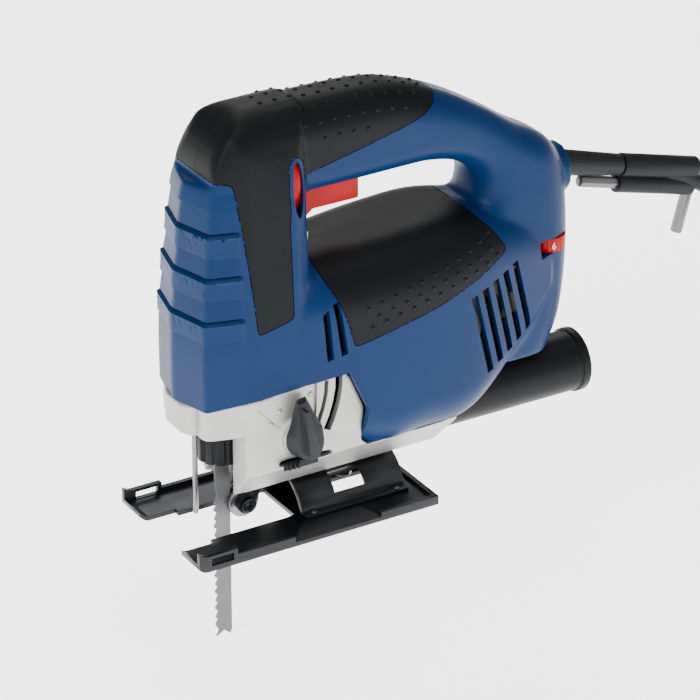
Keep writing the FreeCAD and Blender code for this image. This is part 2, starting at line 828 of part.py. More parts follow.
def roller_screw():
    pin = rod("y", 2, -fork_half - 0.5, fork_half + 0.5, roller_x, roller_z)
    heads = both_sides(rod("y", 3.5, -fork_half - 1.8, -fork_half, roller_x, roller_z))
    cross = box(roller_x - 2, roller_x + 2, -20, -fork_half - 0.9, roller_z - 0.4, roller_z + 0.4)
    cross = cross.fuse(box(roller_x - 0.4, roller_x + 0.4, -20, -fork_half - 0.9, roller_z - 2, roller_z + 2))
    return pin.fuse(heads).cut(cross)


def fork_pin():
    return rod("y", 2.5, -13.5, 13.5, fork_x, fork_z)


# --------------------------------------------------------------------- levers

def orbit_lever():
    """Pointer knob for the pendulum stages, set to the third of its four marks."""
    face = -cheek_half - 4.2 - clear
    hub = rod("y", lever_r, face - 5, face, lever_x, lever_z)
    pointer = [(lever_x - lever_r, lever_z), (lever_x - 4.0, lever_z + lever_reach - 1),
               (lever_x + 0.5, lever_z + lever_reach), (lever_x + lever_r * 0.85, lever_z + 4.5)]
    wire = Part.makePolygon([V(x, face - 5, z) for x, z in pointer + pointer[:1]])
    plate = Part.Face(wire).extrude(V(0, 5, 0))
    ridge_low = [(lever_x - 3.4, lever_z - 7), (lever_x - 2.6, lever_z + lever_reach - 3),
                 (lever_x - 0.4, lever_z + lever_reach - 3), (lever_x + 3.4, lever_z - 5)]
    wire = Part.makePolygon([V(x, face - 9, z) for x, z in ridge_low + ridge_low[:1]])
    ridge = Part.Face(wire).extrude(V(0, 5, 0))
    stem = rod("y", 3.5, face - 1, -21, lever_x, lever_z)
    return joined([hub, plate, ridge]).fuse(stem)


def orbit_cam():
    """Flat on the lever's inner end, which sets how far the fork may swing."""
    disc = rod("y", 5.5, -20.9, -17.5, lever_x, lever_z)
    return disc.cut(box(lever_x + 2.5, 60, -40, 0, 0, 100))


def blower_slide():
    face = -cheek_half - 2.4
    plate = box(slide_x, slide_x + slide_len, face - 1.6 - clear, face - clear - 0.6,
                slide_z - 0.2, slide_z + 3.2)
    tongue = box(slide_x + 2, slide_x + slide_len - 2, face - clear - 1, -22.5, slide_z + 0.6, slide_z + 2.4)
    ribs = [box(slide_x + 2 + 2.2 * i, slide_x + 3 + 2.2 * i, face - 3.0, face - 1, slide_z, slide_z + 3)
            for i in range(3)]
    return joined([plate, tongue] + ribs)


# ----------------------------------------------------------------------- foot

def foot_plate():
    """Pressed steel sole with an open front slot and turned-up rims."""
    plate = slab(foot_front, foot_back, foot_half, 0, plate_thick)
    front = slab(foot_front - 1, -14, slot_half - 1 + 4, -1, 10)
    slot = slab(foot_front - 1, slot_back, slot_half, -1, 10)
    corner = both_sides(prism_xy([(foot_front - 1, -slot_half - 5), (foot_front - 1, -slot_half),
                                  (foot_front + 7, -slot_half)], -1, 10))
    rear = rod("z", slot_half, -1, 10, slot_back, 0).common(slab(slot_back, slot_back + 5, 60, -1, 10))
    heights = [(foot_front, -12, 7.7), (-12, 17, 4.8), (61, foot_back, 4.4)]
    rims = []
    for x0, x1, top in heights:
        rims.append(both_sides(box(x0, x1, -foot_half, -foot_half + rim_thick, 0, top)))
    rims.append(slab(foot_back - rim_thick, foot_back, foot_half, 0, 4.4))
    sole = plate.fuse(rims).cut(slot).cut(front).cut(corner).cut(rear)
    guide = slab(foot_front + 6, foot_front + 17, 60, fence_low, fence_high)
    access = slab(clamp_x - 8, clamp_x + foot_travel + 8, 6, -1, 5)
    return sole.cut(guide).cut(access)


def prism_xy(outline, z0, z1):
    wire = Part.makePolygon([V(x, y, z0) for x, y in outline + outline[:1]])
    return Part.Face(wire).extrude(V(0, 0, z1 - z0))


def foot_bracket():
    """Half-round saddle on the foot: the tilt turns it about the sole's centre line."""
    skin = ring("x", bracket_r, bracket_r - bracket_thick, bracket_x, bracket_x + bracket_len, 0, 0)
    skin = skin.common(slab(bracket_x, bracket_x + bracket_len, 60, plate_thick, 60))
    flange = both_sides(box(bracket_x, bracket_x + bracket_len, -bracket_r - 3.5, -bracket_r + 2,
                            plate_thick, plate_thick + 1.5))
    window_half = 2.5 + 0.6
    window = slab(clamp_x - window_half - foot_travel, clamp_x + window_half, 16.0, plate_thick + 3, 60)
    return skin.fuse(flange).cut(rod("x", bracket_r - bracket_thick, 0, 200, 0, 0)).cut(window)


def foot_clamp_plate():
    """Curved washer plate inside the saddle, slotted along the foot's travel."""
    outer_r = bracket_r - bracket_thick - clear
    plate = ring("x", outer_r, outer_r - 2.4, clamp_x - 18, clamp_x + 8, 0, 0)
    plate = plate.common(slab(0, 200, 6.5, 5, 60))
    return plate.cut(slab(clamp_x - 2.5 - clear - foot_travel, clamp_x + 2.5 + clear, 2.5 + clear, 0, 60))


def foot_clamp_screw():
    head_r = 4.4
    plate_inner_r = bracket_r - bracket_thick - clear - 2.4
    head_top = math.sqrt(plate_inner_r ** 2 - head_r ** 2) - clear
    shank = rod("z", 2.5, head_top - 1, case_low + 9, clamp_x, 0)
    head = rod("z", head_r, head_top - 4, head_top, clamp_x, 0)
    turns = [math.radians(60 * i) for i in range(6)]
    corners = [V(clamp_x + 2.3 * math.cos(a), 2.3 * math.sin(a), head_top - 5) for a in turns]
    socket = Part.Face(Part.makePolygon(corners + corners[:1])).extrude(V(0, 0, 3.4))
    return shank.fuse(head).cut(socket)


def foot_rivets():
    places = [(bracket_x + 5, bracket_r + 1.4), (bracket_x + bracket_len - 5, bracket_r + 1.4)]
    rivets = []
    for x, y in places:
        for side in (-1, 1):
            rivets.append(rod("z", 1.3, plate_thick + 1.5, plate_thick + 2.2, x, side * y))
    return Part.makeCompound(rivets)


# ------------------------------------------------------------------- controls

def trigger():
    """Red trigger bar, hooked down at its front."""
    bar = slab(trigger_x, trigger_x + trigger_len, trigger_half, trigger_low + 3, trigger_high - 7)
    hook = prism([(trigger_x, trigger_low - 6), (trigger_x + 2.4, trigger_low - 6),
                  (trigger_x + 7.5, trigger_low + 4), (trigger_x, trigger_low + 4)], trigger_half)
    stem = slab(trigger_x + 6, trigger_x + trigger_len - 6, trigger_half - 3, trigger_high - 8, trigger_high)
    return joined([bar, hook, stem])


def trigger_spring():
    return ring("z", 3.0, 2.2, trigger_high + clear, switch_low - clear, trigger_x + 15, 0)


def switch_module():
    block = slab(trigger_x, trigger_x + 40, 9, switch_low, 191)
    terminals = [slab(trigger_x + 40, trigger_x + 44, 1.5, 178 + 5 * i, 180 + 5 * i) for i in range(3)]
    return joined([block] + terminals)


def lock_button():
    """Red lock-on button: a tall curved key in the column's side."""
    reach = 22.5
    key = box(lock_x - lock_half, lock_x + lock_half, -reach, -11, lock_low, lock_high)
    round_face = rod("x", 30, 0, 60, -reach + 30.5, (lock_low + lock_high) / 2)
    flange = box(lock_x - 4, lock_x + 4, -13, -11, lock_low - 1, lock_high + 1)
    return key.common(round_face).fuse(flange)


def speed_dial():
    wheel = ring("z", dial_r, 2 + snug, dial_low, dial_high, dial_x, dial_y)
    for i in range(24):
        turn = math.radians(15 * i)
        x = dial_x + (dial_r + 0.2) * math.cos(turn)
        y = dial_y + (dial_r + 0.2) * math.sin(turn)
        wheel = wheel.cut(rod("z", 0.5, 0, 200, x, y))
    return wheel


def speed_board():
    """Speed control board with its potentiometer, whose shaft carries the dial."""
    plate = box(dial_x - 10.2, dial_x + 10, 3.0, 4.6, dial_low - 2, dial_high + 8)
    pot = box(dial_x - 6, dial_x + 6, dial_y - 4, 3.0, dial_high + 1.5, dial_high + 7)
    shaft = rod("z", 2, dial_low + 0.5, dial_high + 2, dial_x, dial_y)
    chips = [box(dial_x - 9 + 8 * i, dial_x - 4 + 8 * i, 4.6, 8, dial_low, dial_low + 8) for i in range(2)]
    return joined([plate, pot, shaft] + chips)


# ----------------------------------------------------------------- dust outlet

def dust_tube():
    """Black suction tube; the narrower spigot at its front plugs into the case's base."""
    tube = ring("x", tube_r, tube_bore_r, tube_x + tube_shoulder, tube_end, 0, tube_z)
    rim = ring("x", tube_r + 0.9, tube_bore_r, tube_end - 4, tube_end, 0, tube_z)
    shoulder = ring("x", tube_r, spigot_bore_r, tube_x, tube_x + tube_shoulder, 0, tube_z)
    spigot = ring("x", tube_bore_r - snug, spigot_bore_r, case_back - 7, tube_x, 0, tube_z)
    return joined([tube, rim, shoulder, spigot])


# ------------------------------------------------------------------ mains cord

def along(distance, drop=0.0):
    """A point on the straight line on which the cord leaves the body."""
    return V(rear_x - 4 + distance * math.cos(droop) - drop * math.sin(droop), 0,
             exit_z + 1 - distance * math.sin(droop) - drop * math.cos(droop))


def cord_sleeve():
    """Tapered bend protector with a collar that the housing grips."""
    way = V(math.cos(droop), 0, -math.sin(droop))
    cone = Part.makeCone(sleeve_root_r - 0.4, cord_r + 1.3, sleeve_len, along(0), way)
    root = rod("x", sleeve_root_r, rear_x - 10, rear_x - 2.5, 0, exit_z + 1)
    bore = Part.makeCylinder(cord_r + snug, sleeve_len + 2, along(-2), way)
    return root.fuse(cone).cut(bore)


def cord_route():
    """Points of the free cord, from the sleeve's end down to the coil on the floor."""
    lie = floor_z + cord_r + 0.05
    start = along(sleeve_len)
    second = along(sleeve_len + 55)
    outer_turn = coil_y - coil_mid_r - 2 * cord_r
    return [start, second, V(284, -14, 60), V(292, -28, 5), V(304, -40, -40),
            V(coil_x - 24, outer_turn, lie + 0.7), V(coil_x, outer_turn, lie)]


def swept_cord(points, radius):
    """Straight runs joined by tangent arcs, each as large as its two runs allow."""
    edges = []
    last = points[0]
    radii = []
    for before, corner, after in zip(points, points[1:], points[2:]):
        run_in = (corner - before)
        run_out = (after - corner)
        back = 0.45 * min(run_in.Length, run_out.Length)
        turn = run_in.getAngle(run_out)
        radii.append(back / math.tan(turn / 2))
        way_in = V(run_in).normalize()
        way_out = V(run_out).normalize()
        start = corner - way_in * back
        end = corner + way_out * back
        bisector = (way_out - way_in).normalize()
        centre = corner + bisector * (radii[-1] / math.cos(turn / 2))
        middle = centre - bisector * radii[-1]
        edges.append(Part.makeLine(last, start))
        edges.append(Part.Arc(start, middle, end).toShape())
        last = end
    edges.append(Part.makeLine(last, points[-1]))
    path = Part.Wire(edges)
    way = V(points[1] - points[0]).normalize()
    section = Part.Wire(Part.makeCircle(radius, points[0], way))
    tube = path.makePipeShell([section], True, False)
    print("cord bend radii", [round(r) for r in radii], "length", round(path.Length),
          "volume ratio", round(tube.Volume / (math.pi * radius ** 2 * path.Length), 4))
    return tube


def coil_ring():
    """The wound cord as one ring, three turns wide and three high."""
    half = coil_turns_wide * cord_r
    return ring("z", coil_mid_r + half, coil_mid_r - half, floor_z, floor_z + 2 * half, coil_x, coil_y)


def coil_tie():
    """Strap round the bundle on the side away from the plug."""
    half = coil_turns_wide * cord_r
    outer = box(coil_x - coil_mid_r - half - 1.2, coil_x - coil_mid_r + half + 1.2, coil_y - 4, coil_y + 4,
                floor_z + 0.6, floor_z + 2 * half + 1.2)
    return outer.cut(coil_ring())


def plug_start():
    """Where the cord enters the plug, which lies on top of the coil's inner turns."""
    coil_top = floor_z + 2 * coil_turns_wide * cord_r
    return V(coil_x + 14, coil_y - coil_mid_r + 2 * cord_r, coil_top + plug_r)


def plug_tail(coil):
    """Short end of the cord, which climbs out of the coil and into the plug."""
    end = plug_start()
    rise = 15
    start = V(end.x - 44, end.y, end.z - rise)
    return swept_cord([start, V(end.x - 20, end.y, end.z), end], cord_r).cut(coil)


def mains_plug():
    """Flat-sided two-pin plug with a ribbed neck."""
    at = plug_start()
    neck = Part.makeCone(cord_r + 1.2, 7.5, 14, at, V(1, 0, 0))
    head = rod("x", plug_r, at.x + 14, at.x + 36, at.y, at.z)
    return joined([neck, head])


def plug_pins():
    at = plug_start()
    pins = [rod("x", 2.4, at.x + 36, at.x + 55, at.y + side * 9.5, at.z) for side in (-1, 1)]
    return Part.makeCompound(pins)


def hex_key():
    """5 mm hexagon key along the underside of the cord; its short arm turns down."""
    way = V(math.cos(droop), 0, -math.sin(droop))
    radius = key_across / math.sqrt(3)
    key = hex_bar(along(key_start, key_drop), way, radius, key_len)
    elbow = along(key_start + key_len - key_across / 2, key_drop + 1)
    arm = hex_bar(elbow, V(-math.sin(droop), 0, -math.cos(droop)), radius, 22)
    return joined([key, arm])


def hex_bar(start, way, radius, length):
    side = V(0, 1, 0)
    up = side.cross(way)
    points = []
    for i in range(6):
        turn = math.radians(60 * i)
        points.append(start + side * (radius * math.cos(turn)) + up * (radius * math.sin(turn)))
    return Part.Face(Part.makePolygon(points + points[:1])).extrude(way * length)


def key_clip(key, cord):
    """Rubber holder: two eyes round the cord, two round the key, and webs between them."""
    way = V(math.cos(droop), 0, -math.sin(droop))
    begin = sleeve_len + 1
    spine = Part.makeCylinder(cord_r + 1.7, clip_len, along(begin), way)
    holder = Part.makeCylinder(4.6, clip_len, along(begin, key_drop), way)
    blocks = [spine, holder]
    for offset in (12.0, clip_len - 6):
        first = along(begin + offset, 0)
        web = Part.makeBox(6, 5, key_drop, V(-3, -2.5, -key_drop))
        web.rotate(V(0, 0, 0), V(0, 1, 0), math.degrees(droop))
        web.translate(first)
        blocks.append(web)
    return joined(blocks).cut(cord).cut(key)


def cord_clamp():
    """Bar inside the rear column that pins the cord, with its two screws' holes."""
    bar = slab(rear_x - 23, rear_x - 14, 30, exit_z + 1 + cord_r, exit_z + 1 + cord_r + 5)
    bar = bar.common(body(wall + clear))
    return bar.cut(both_sides(rod("z", 1.6 + snug, 100, 200, rear_x - 18.5, 9)))


def cord_clamp_screws():
    screws = []
    for side in (-1, 1):
        top = exit_z + 1 + cord_r + 5
        screws.append(rod("z", 1.6, top - 12, top, rear_x - 18.5, 9 * side).fuse(
            rod("z", 3, top, top + 1.8, rear_x - 18.5, 9 * side)))
    return Part.makeCompound(screws)


def build():
    os.makedirs("parts", exist_ok=True)
    outer = body(0)
    cavity = body(wall)
    left, right = housing_halves(outer, cavity)
    save("housing_left", left)
    save("housing_right", right)
    handle_left, handle_right = grips(outer, handle_grip_region())
    save("handle_grip_left", handle_left)
    save("handle_grip_right", handle_right)
    body_left, body_right = grips(outer, body_grip_region())
    save("body_grip_left", body_left)
    save("body_grip_right", body_right)
    save("front_cover", front_cover(outer, cavity))
    save("housing_screws", housing_screws())
    save("gear_case", gear_case())
    save("guard_rod", guard_rod())
    save("rod_bushes", Part.makeCompound([bush(bush_low_z), bush(bush_high_z)]))
    save("bearing_shield", bearing_shield())
    save("drive_pinion", drive_pinion())
    save("drive_gear", drive_gear())
    save("eccentric_pin", eccentric_pin())
    save("gear_spindle", gear_spindle())
    save("stroke_rod", stroke_rod())
    save("yoke", yoke())
    save("armature_shaft", armature_shaft())
    save("front_bearing", bearing(shield_x + 3))
    save("rear_bearing", bearing(bearing_back))
    save("cooling_fan", cooling_fan())
    save("armature_core", armature_core())
    save("armature_windings", armature_windings())
    save("commutator", commutator())
    save("stator_core", stator_core())
    save("field_coils", field_coils())
    save("brush_boxes", brush_boxes())
    save("carbon_brushes", carbon_brushes())
    save("brush_springs", brush_springs())
    save("clamp_body", clamp_body())
    save("clamp_collar", clamp_collar())
    save("saw_blade", saw_blade())
    save("pendulum_fork", pendulum_fork())
    save("guide_roller", guide_roller())
    save("roller_screw", roller_screw())
    save("fork_pin", fork_pin())
    save("orbit_lever", Part.makeCompound([orbit_lever(), orbit_cam()]))
    save("blower_slide", blower_slide())
    save("foot_plate", foot_plate())
    save("foot_bracket", foot_bracket())
    save("foot_clamp_plate", foot_clamp_plate())
    save("foot_clamp_screw", foot_clamp_screw())
    save("foot_rivets", foot_rivets())
    save("trigger", trigger())
    save("trigger_spring", trigger_spring())
    save("switch_module", switch_module())
    save("lock_button", lock_button())
    save("speed_dial", speed_dial())
    save("speed_board", speed_board())
    save("dust_tube", dust_tube())
    save("cord_sleeve", cord_sleeve())
    cord = swept_cord(cord_route(), cord_r)
    coil = coil_ring()
    save("mains_cord", cord.cut(coil))
    save("cord_coil", coil)
    save("coil_tie", coil_tie())
    save("plug_tail", plug_tail(coil))
    save("mains_plug", Part.makeCompound([mains_plug(), plug_pins()]))
    key = hex_key()
    save("hex_key", key)
    save("key_clip", key_clip(key, cord))
    save("cord_clamp", Part.makeCompound([cord_clamp(), cord_clamp_screws()]))


build()
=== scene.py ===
import json
import math

import bpy
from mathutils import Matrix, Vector


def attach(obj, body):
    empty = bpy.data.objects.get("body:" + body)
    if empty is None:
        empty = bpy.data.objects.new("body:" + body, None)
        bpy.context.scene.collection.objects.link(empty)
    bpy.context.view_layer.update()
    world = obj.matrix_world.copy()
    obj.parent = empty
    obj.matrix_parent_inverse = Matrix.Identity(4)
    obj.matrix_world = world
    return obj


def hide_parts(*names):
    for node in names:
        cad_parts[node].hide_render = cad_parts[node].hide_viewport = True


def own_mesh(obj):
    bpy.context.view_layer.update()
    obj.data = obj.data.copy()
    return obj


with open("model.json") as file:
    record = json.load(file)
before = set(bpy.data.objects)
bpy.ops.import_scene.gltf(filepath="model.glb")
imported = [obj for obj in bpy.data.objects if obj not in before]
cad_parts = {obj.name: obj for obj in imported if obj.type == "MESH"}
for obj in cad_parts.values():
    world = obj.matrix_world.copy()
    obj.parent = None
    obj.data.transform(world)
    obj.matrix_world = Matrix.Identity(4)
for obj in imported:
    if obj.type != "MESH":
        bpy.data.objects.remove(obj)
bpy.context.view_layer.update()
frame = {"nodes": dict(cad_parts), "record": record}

# ---------------------------------------------------------------- viewpoint
# The tool is seen from its front left and a little above, from far enough away that
# its long lines hardly converge. The camera looks at the middle of the body.
view_turn = math.radians(-31)
view_rise = math.radians(27)
aim = Vector((0.02641, -0.00980, 0.07404))
back_off = Vector((math.sin(view_turn) * math.cos(view_rise),
                   -math.cos(view_turn) * math.cos(view_rise), math.sin(view_rise)))
bpy.ops.object.camera_add(location=aim + back_off * 1.7)
camera = bpy.context.object
camera.rotation_euler = back_off.to_track_quat("Z", "Y").to_euler()
camera.data.lens = 198.5
camera.data.sensor_width = 36
camera.data.clip_end = 20
bpy.context.scene.camera = camera

# ---------------------------------------------------------------- mains cord
# The flexible lead: 7.5 mm black rubber over two stranded cores, extruded in one length.
# It leaves the tapered sleeve, bends down under its weight and is wound away in a coil.
cord_r = 0.00375
floor_z = -0.060
droop = math.radians(15)


def on_exit_line(distance, drop=0.0):
    """A point on the straight line on which the cord leaves the body."""
    return Vector((0.1425 + distance * math.cos(droop) - drop * math.sin(droop), 0,
                   0.134 - distance * math.sin(droop) - drop * math.cos(droop)))


coil_centre = Vector((0.316, 0.002, 0))
outer, middle, inner = 0.0485, 0.0410, 0.0335
turns = [(outer, 0), (middle, 0), (inner, 0), (inner, 1), (middle, 1), (outer, 1), (outer, 2), (middle, 2),
         (inner, 4)]
steps_per_turn = 36
arc_swell = 1.0025        # a spline of this order runs slightly inside its control points
cord_points = [on_exit_line(0.033), on_exit_line(0.088), Vector((0.250, -0.014, 0.060)),
               Vector((0.258, -0.028, 0.005)), Vector((0.270, -0.040, -0.040)),
               Vector((0.292, -0.0465, -0.0554))]
for step in range(8 * steps_per_turn):
    turn, part = divmod(step, steps_per_turn)
    part /= steps_per_turn
    first, last = {6: (0.66, 0.82), 7: (0.72, 0.98)}.get(turn, (0.80, 0.98))
    move = min(max((part - first) / (last - first), 0), 1)
    move = move * move * (3 - 2 * move)
    reach = (turns[turn][0] + (turns[turn + 1][0] - turns[turn][0]) * move) * arc_swell
    layer = turns[turn][1] + (turns[turn + 1][1] - turns[turn][1]) * move
    angle = 2 * math.pi * part - math.pi / 2
    cord_points.append(coil_centre + Vector((reach * math.cos(angle), reach * math.sin(angle),
                                             floor_z + cord_r + 2 * cord_r * layer)))
plug_axis = Vector((coil_centre.x + 0.014, coil_centre.y - inner, floor_z + 6 * cord_r + 0.0115))
cord_points += [plug_axis - Vector((0.013, 0, 0)), plug_axis - Vector((0.006, 0, 0)),
                plug_axis + Vector((0.003, 0, 0))]

bpy.ops.object.select_all(action="DESELECT")
cord_line = bpy.data.curves.new("mains_lead", "CURVE")
cord_line.dimensions = "3D"
cord_line.bevel_depth = cord_r
cord_line.bevel_resolution = 5
cord_line.resolution_u = 5
cord_line.use_fill_caps = True
spline = cord_line.splines.new("NURBS")
spline.points.add(len(cord_points) - 1)
for point, place in zip(spline.points, cord_points):
    point.co = (*place, 1)
spline.order_u = 3
spline.use_endpoint_u = True
mains_lead = bpy.data.objects.new("mains_lead", cord_line)
bpy.context.scene.collection.objects.link(mains_lead)


def surface(name, colour, roughness, second=None, patch=60, metallic=0.0, grain=0.0, grain_size=0.0006,
            wear=0.0, coat=0.0, scratch=0.0):
    """A finish with slow colour drift, a fine grain in relief and a slightly uneven gloss."""
    finish = bpy.data.materials.new(name)
    finish.use_nodes = True
    nodes, links = finish.node_tree.nodes, finish.node_tree.links
    shader = nodes["Principled BSDF"]
    shader.inputs["Metallic"].default_value = metallic
    shader.inputs["Coat Weight"].default_value = coat
    shader.inputs["Coat Roughness"].default_value = 0.2
    shader.inputs["Specular IOR Level"].default_value = 0.5 if metallic > 0.3 else 0.14
    place = nodes.new("ShaderNodeTexCoord")
    drift = nodes.new("ShaderNodeTexNoise")
    drift.inputs["Scale"].default_value = patch
    drift.inputs["Detail"].default_value = 6
    links.new(place.outputs["Object"], drift.inputs["Vector"])
    mix = nodes.new("ShaderNodeMix")
    mix.data_type = "RGBA"
    second = second or tuple(c * 0.86 for c in colour)
    mix.inputs[6].default_value = (*colour, 1)
    mix.inputs[7].default_value = (*second, 1)
    links.new(drift.outputs["Fac"], mix.inputs[0])
    links.new(mix.outputs[2], shader.inputs["Base Color"])
    gloss = nodes.new("ShaderNodeMapRange")
    gloss.inputs["To Min"].default_value = max(roughness - 0.07 - wear, 0.05)
    gloss.inputs["To Max"].default_value = min(roughness + 0.07 + wear, 1)
    links.new(drift.outputs["Fac"], gloss.inputs["Value"])
    links.new(gloss.outputs["Result"], shader.inputs["Roughness"])
    texture = nodes.new("ShaderNodeTexNoise")
    texture.inputs["Scale"].default_value = 1 / grain_size
    texture.inputs["Detail"].default_value = 3
    links.new(place.outputs["Object"], texture.inputs["Vector"])
    relief = nodes.new("ShaderNodeBump")
    relief.inputs["Distance"].default_value = 0.0002
    relief.inputs["Strength"].default_value = grain
    links.new(texture.outputs["Fac"], relief.inputs["Height"])
    last = relief
    if scratch:
        stretch = nodes.new("ShaderNodeMapping")
        stretch.inputs["Scale"].default_value = (1, 1, 0.05)
        lines = nodes.new("ShaderNodeTexNoise")
        lines.inputs["Scale"].default_value = 2600
        links.new(place.outputs["Object"], stretch.inputs["Vector"])
        links.new(stretch.outputs["Vector"], lines.inputs["Vector"])
        last = nodes.new("ShaderNodeBump")
        last.inputs["Distance"].default_value = 0.0001
        last.inputs["Strength"].default_value = scratch
        links.new(lines.outputs["Fac"], last.inputs["Height"])
        links.new(relief.outputs["Normal"], last.inputs["Normal"])
    links.new(last.outputs["Normal"], shader.inputs["Normal"])
    return finish


def coat(piece, finish, slot):
    """Gives a piece its finish; the slot argument is not used."""
    piece.data.materials.clear()
    piece.data.materials.append(finish)


rubber = surface("black_rubber", (0.012, 0.0125, 0.014), 0.45, patch=90, grain=0.25, grain_size=0.0009)
coat(mains_lead, rubber, "black_rubber")
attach(mains_lead, "housing")
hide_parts("mains_cord", "cord_coil", "plug_tail")

# ------------------------------------------------------- moulded outer shell
# The shell is two glass-filled nylon halves that meet in the middle plane. Its outside is
# one form: a faceted nose, the barrel round the motor, and a handle loop over the gap.
def mesh_edit(piece, *steps):
    """Runs edit-mode steps on a piece with everything in it selected."""
    bpy.ops.object.select_all(action="DESELECT")
    bpy.context.view_layer.objects.active = piece
    piece.select_set(True)
    bpy.ops.object.mode_set(mode="EDIT")
    bpy.ops.mesh.select_all(action="SELECT")
    for step in steps:
        step()
    bpy.ops.object.mode_set(mode="OBJECT")
    return piece


def outwards():
    bpy.ops.mesh.select_all(action="SELECT")
    bpy.ops.mesh.normals_make_consistent(inside=False)


def apply_modifier(piece, kind, **settings):
    """Adds a modifier, sets it and applies it."""
    bpy.ops.object.select_all(action="DESELECT")
    bpy.context.view_layer.objects.active = piece
    piece.select_set(True)
    change = piece.modifiers.new(kind.lower(), kind)
    for name, value in settings.items():
        setattr(change, name, value)
    bpy.ops.object.modifier_apply(modifier=change.name)
    return piece


def combine(piece, tool, how="DIFFERENCE", keep=False):
    """Cuts, joins or keeps the common part of a piece and a tool body."""
    apply_modifier(piece, "BOOLEAN", operation=how, solver="MANIFOLD", object=tool)
    if not keep:
        bpy.data.objects.remove(tool)
    return piece


def copied(piece, name):
    twin = piece.copy()
    twin.data = piece.data.copy()
    twin.name = name
    bpy.context.scene.collection.objects.link(twin)
    return twin


def drawn(x, y, z):
    """Sizes are in millimetres from the blade's axis; the origin lies 34 mm behind it."""
    return ((x - 34) / 1000, y / 1000, z / 1000)


def skinned(name, rings):
    """A closed form skinned through rings of points."""
    around = len(rings[0])
    bpy.ops.mesh.primitive_grid_add(x_subdivisions=around, y_subdivisions=len(rings) - 1)
    form = bpy.context.object
    form.name = name
    for i, vertex in enumerate(form.data.vertices):
        vertex.co = drawn(*rings[i // (around + 1)][i % (around + 1) % around])
    return mesh_edit(form, lambda: bpy.ops.mesh.remove_doubles(threshold=1e-6),
                     lambda: bpy.ops.mesh.fill_holes(sides=0), outwards)


def plate(name, outline, low, high, axis="y"):
    """An outline pushed through from low to high along one axis."""
    bpy.ops.mesh.primitive_circle_add(vertices=len(outline), fill_type="NGON")
    form = bpy.context.object
    form.name = name
    place = {"x": lambda a, b: drawn(low, a, b), "y": lambda a, b: drawn(a, low, b),
             "z": lambda a, b: drawn(a, b, low)}[axis]
    for vertex, (a, b) in zip(form.data.vertices, outline):
        vertex.co = place(a, b)
    push = tuple((high - low) / 1000 * (axis == name) for name in "xyz")
    return mesh_edit(form, lambda: bpy.ops.mesh.extrude_region_move(TRANSFORM_OT_translate={"value": push}),
                     outwards)


def cornered(outline, radius):
    """The outline with each corner rounded by about one radius, and its runs left straight."""
    made = []
    for before, here, after in zip(outline[-1:] + outline[:-1], outline, outline[1:] + outline[:1]):
        a, b, c = Vector(before), Vector(here), Vector(after)
        start = b + (a - b).normalized() * min(radius, (a - b).length * 0.45)
        end = b + (c - b).normalized() * min(radius, (c - b).length * 0.45)
        made += [tuple(start.lerp(b, t).lerp(b.lerp(end, t), t)) for t in (0, 0.25, 0.5, 0.75, 1)]
    return made


def between(stations, steps):
    """Stations added on smooth curves through the given ones."""
    rows = [stations[0]] + stations + [stations[-1]]
    filled = []
    for p, a, b, n in zip(rows, rows[1:], rows[2:], rows[3:]):
        for k in range(steps):
            t = k / steps
            filled.append([0.5 * (2 * i + (j - h) * t + (2 * h - 5 * i + 4 * j - m) * t * t
                                  + (3 * i - h - 3 * j + m) * t ** 3) for h, i, j, m in zip(p, a, b, n)])
    return filled + [list(stations[-1])]


def section(x, z, tilt, high, wide, corner, low_corner=0):
    """A rounded rectangle across the handle's or barrel's line, squarer below if asked."""
    tilt = math.radians(tilt)
    points = []
    for quarter, (side, up) in enumerate([(1, 1), (-1, 1), (-1, -1), (1, -1)]):
        for k in range(13):
            turn = math.radians(90 * quarter + 7.5 * k)
            curve = (low_corner or corner) if up < 0 else corner
            across = side * (wide - curve) + curve * math.cos(turn)
            rise = up * (high - curve) + curve * math.sin(turn)
            points.append((x - rise * math.sin(tilt), across, z + rise * math.cos(tilt)))
    return points


handle = skinned("handle", [section(*s) for s in between([
    (20, 177.4, 0, 20.8, 18.5, 16, 10), (68, 177.2, -4, 20.3, 18.5, 16, 10),
    (87.2, 174.8, -12, 18.6, 18.2, 15.5, 11), (106, 170.2, -22, 15.4, 17.9, 14, 11.5),
    (123.7, 162.3, -36, 13.3, 17.5, 12.5, 12), (136.4, 152.5, -50, 15, 18.5, 14, 14),
    (146, 139.6, -70, 23.8, 19.5, 17, 17), (147, 124, -88, 27, 20.5, 18, 18),
    (147.7, 96, -90, 27.3, 21, 19, 19), (147, 68.5, -90, 25, 20.5, 18, 18),
    (145, 50.5, -90, 20, 19, 16, 16)], 6)])
barrel = skinned("barrel", [section(x, (low + high) / 2, 0, (high - low) / 2, half, 24)
                            for x, low, high, half in between([
                                (25, 56, 127, 31), (58, 32, 128.5, 36), (86, 32, 130, 38),
                                (112, 34, 131, 36.5), (138.5, 51, 127, 29),
                                (158.5, 66, 118, 22)], 8)])


def nose_ring(z, front, shrink):
    """The faceted plan of the front column at one height."""
    plan = [(front, -0.6), (front + 4.9, -21.4 * shrink), (3, -27.5 * shrink), (24, -30.5 * shrink),
            (31, -26.5 * shrink), (35, -17 * shrink)]
    plan += [(x, -y) for x, y in reversed(plan)]
    return [(x, y, z) for x, y in plan]


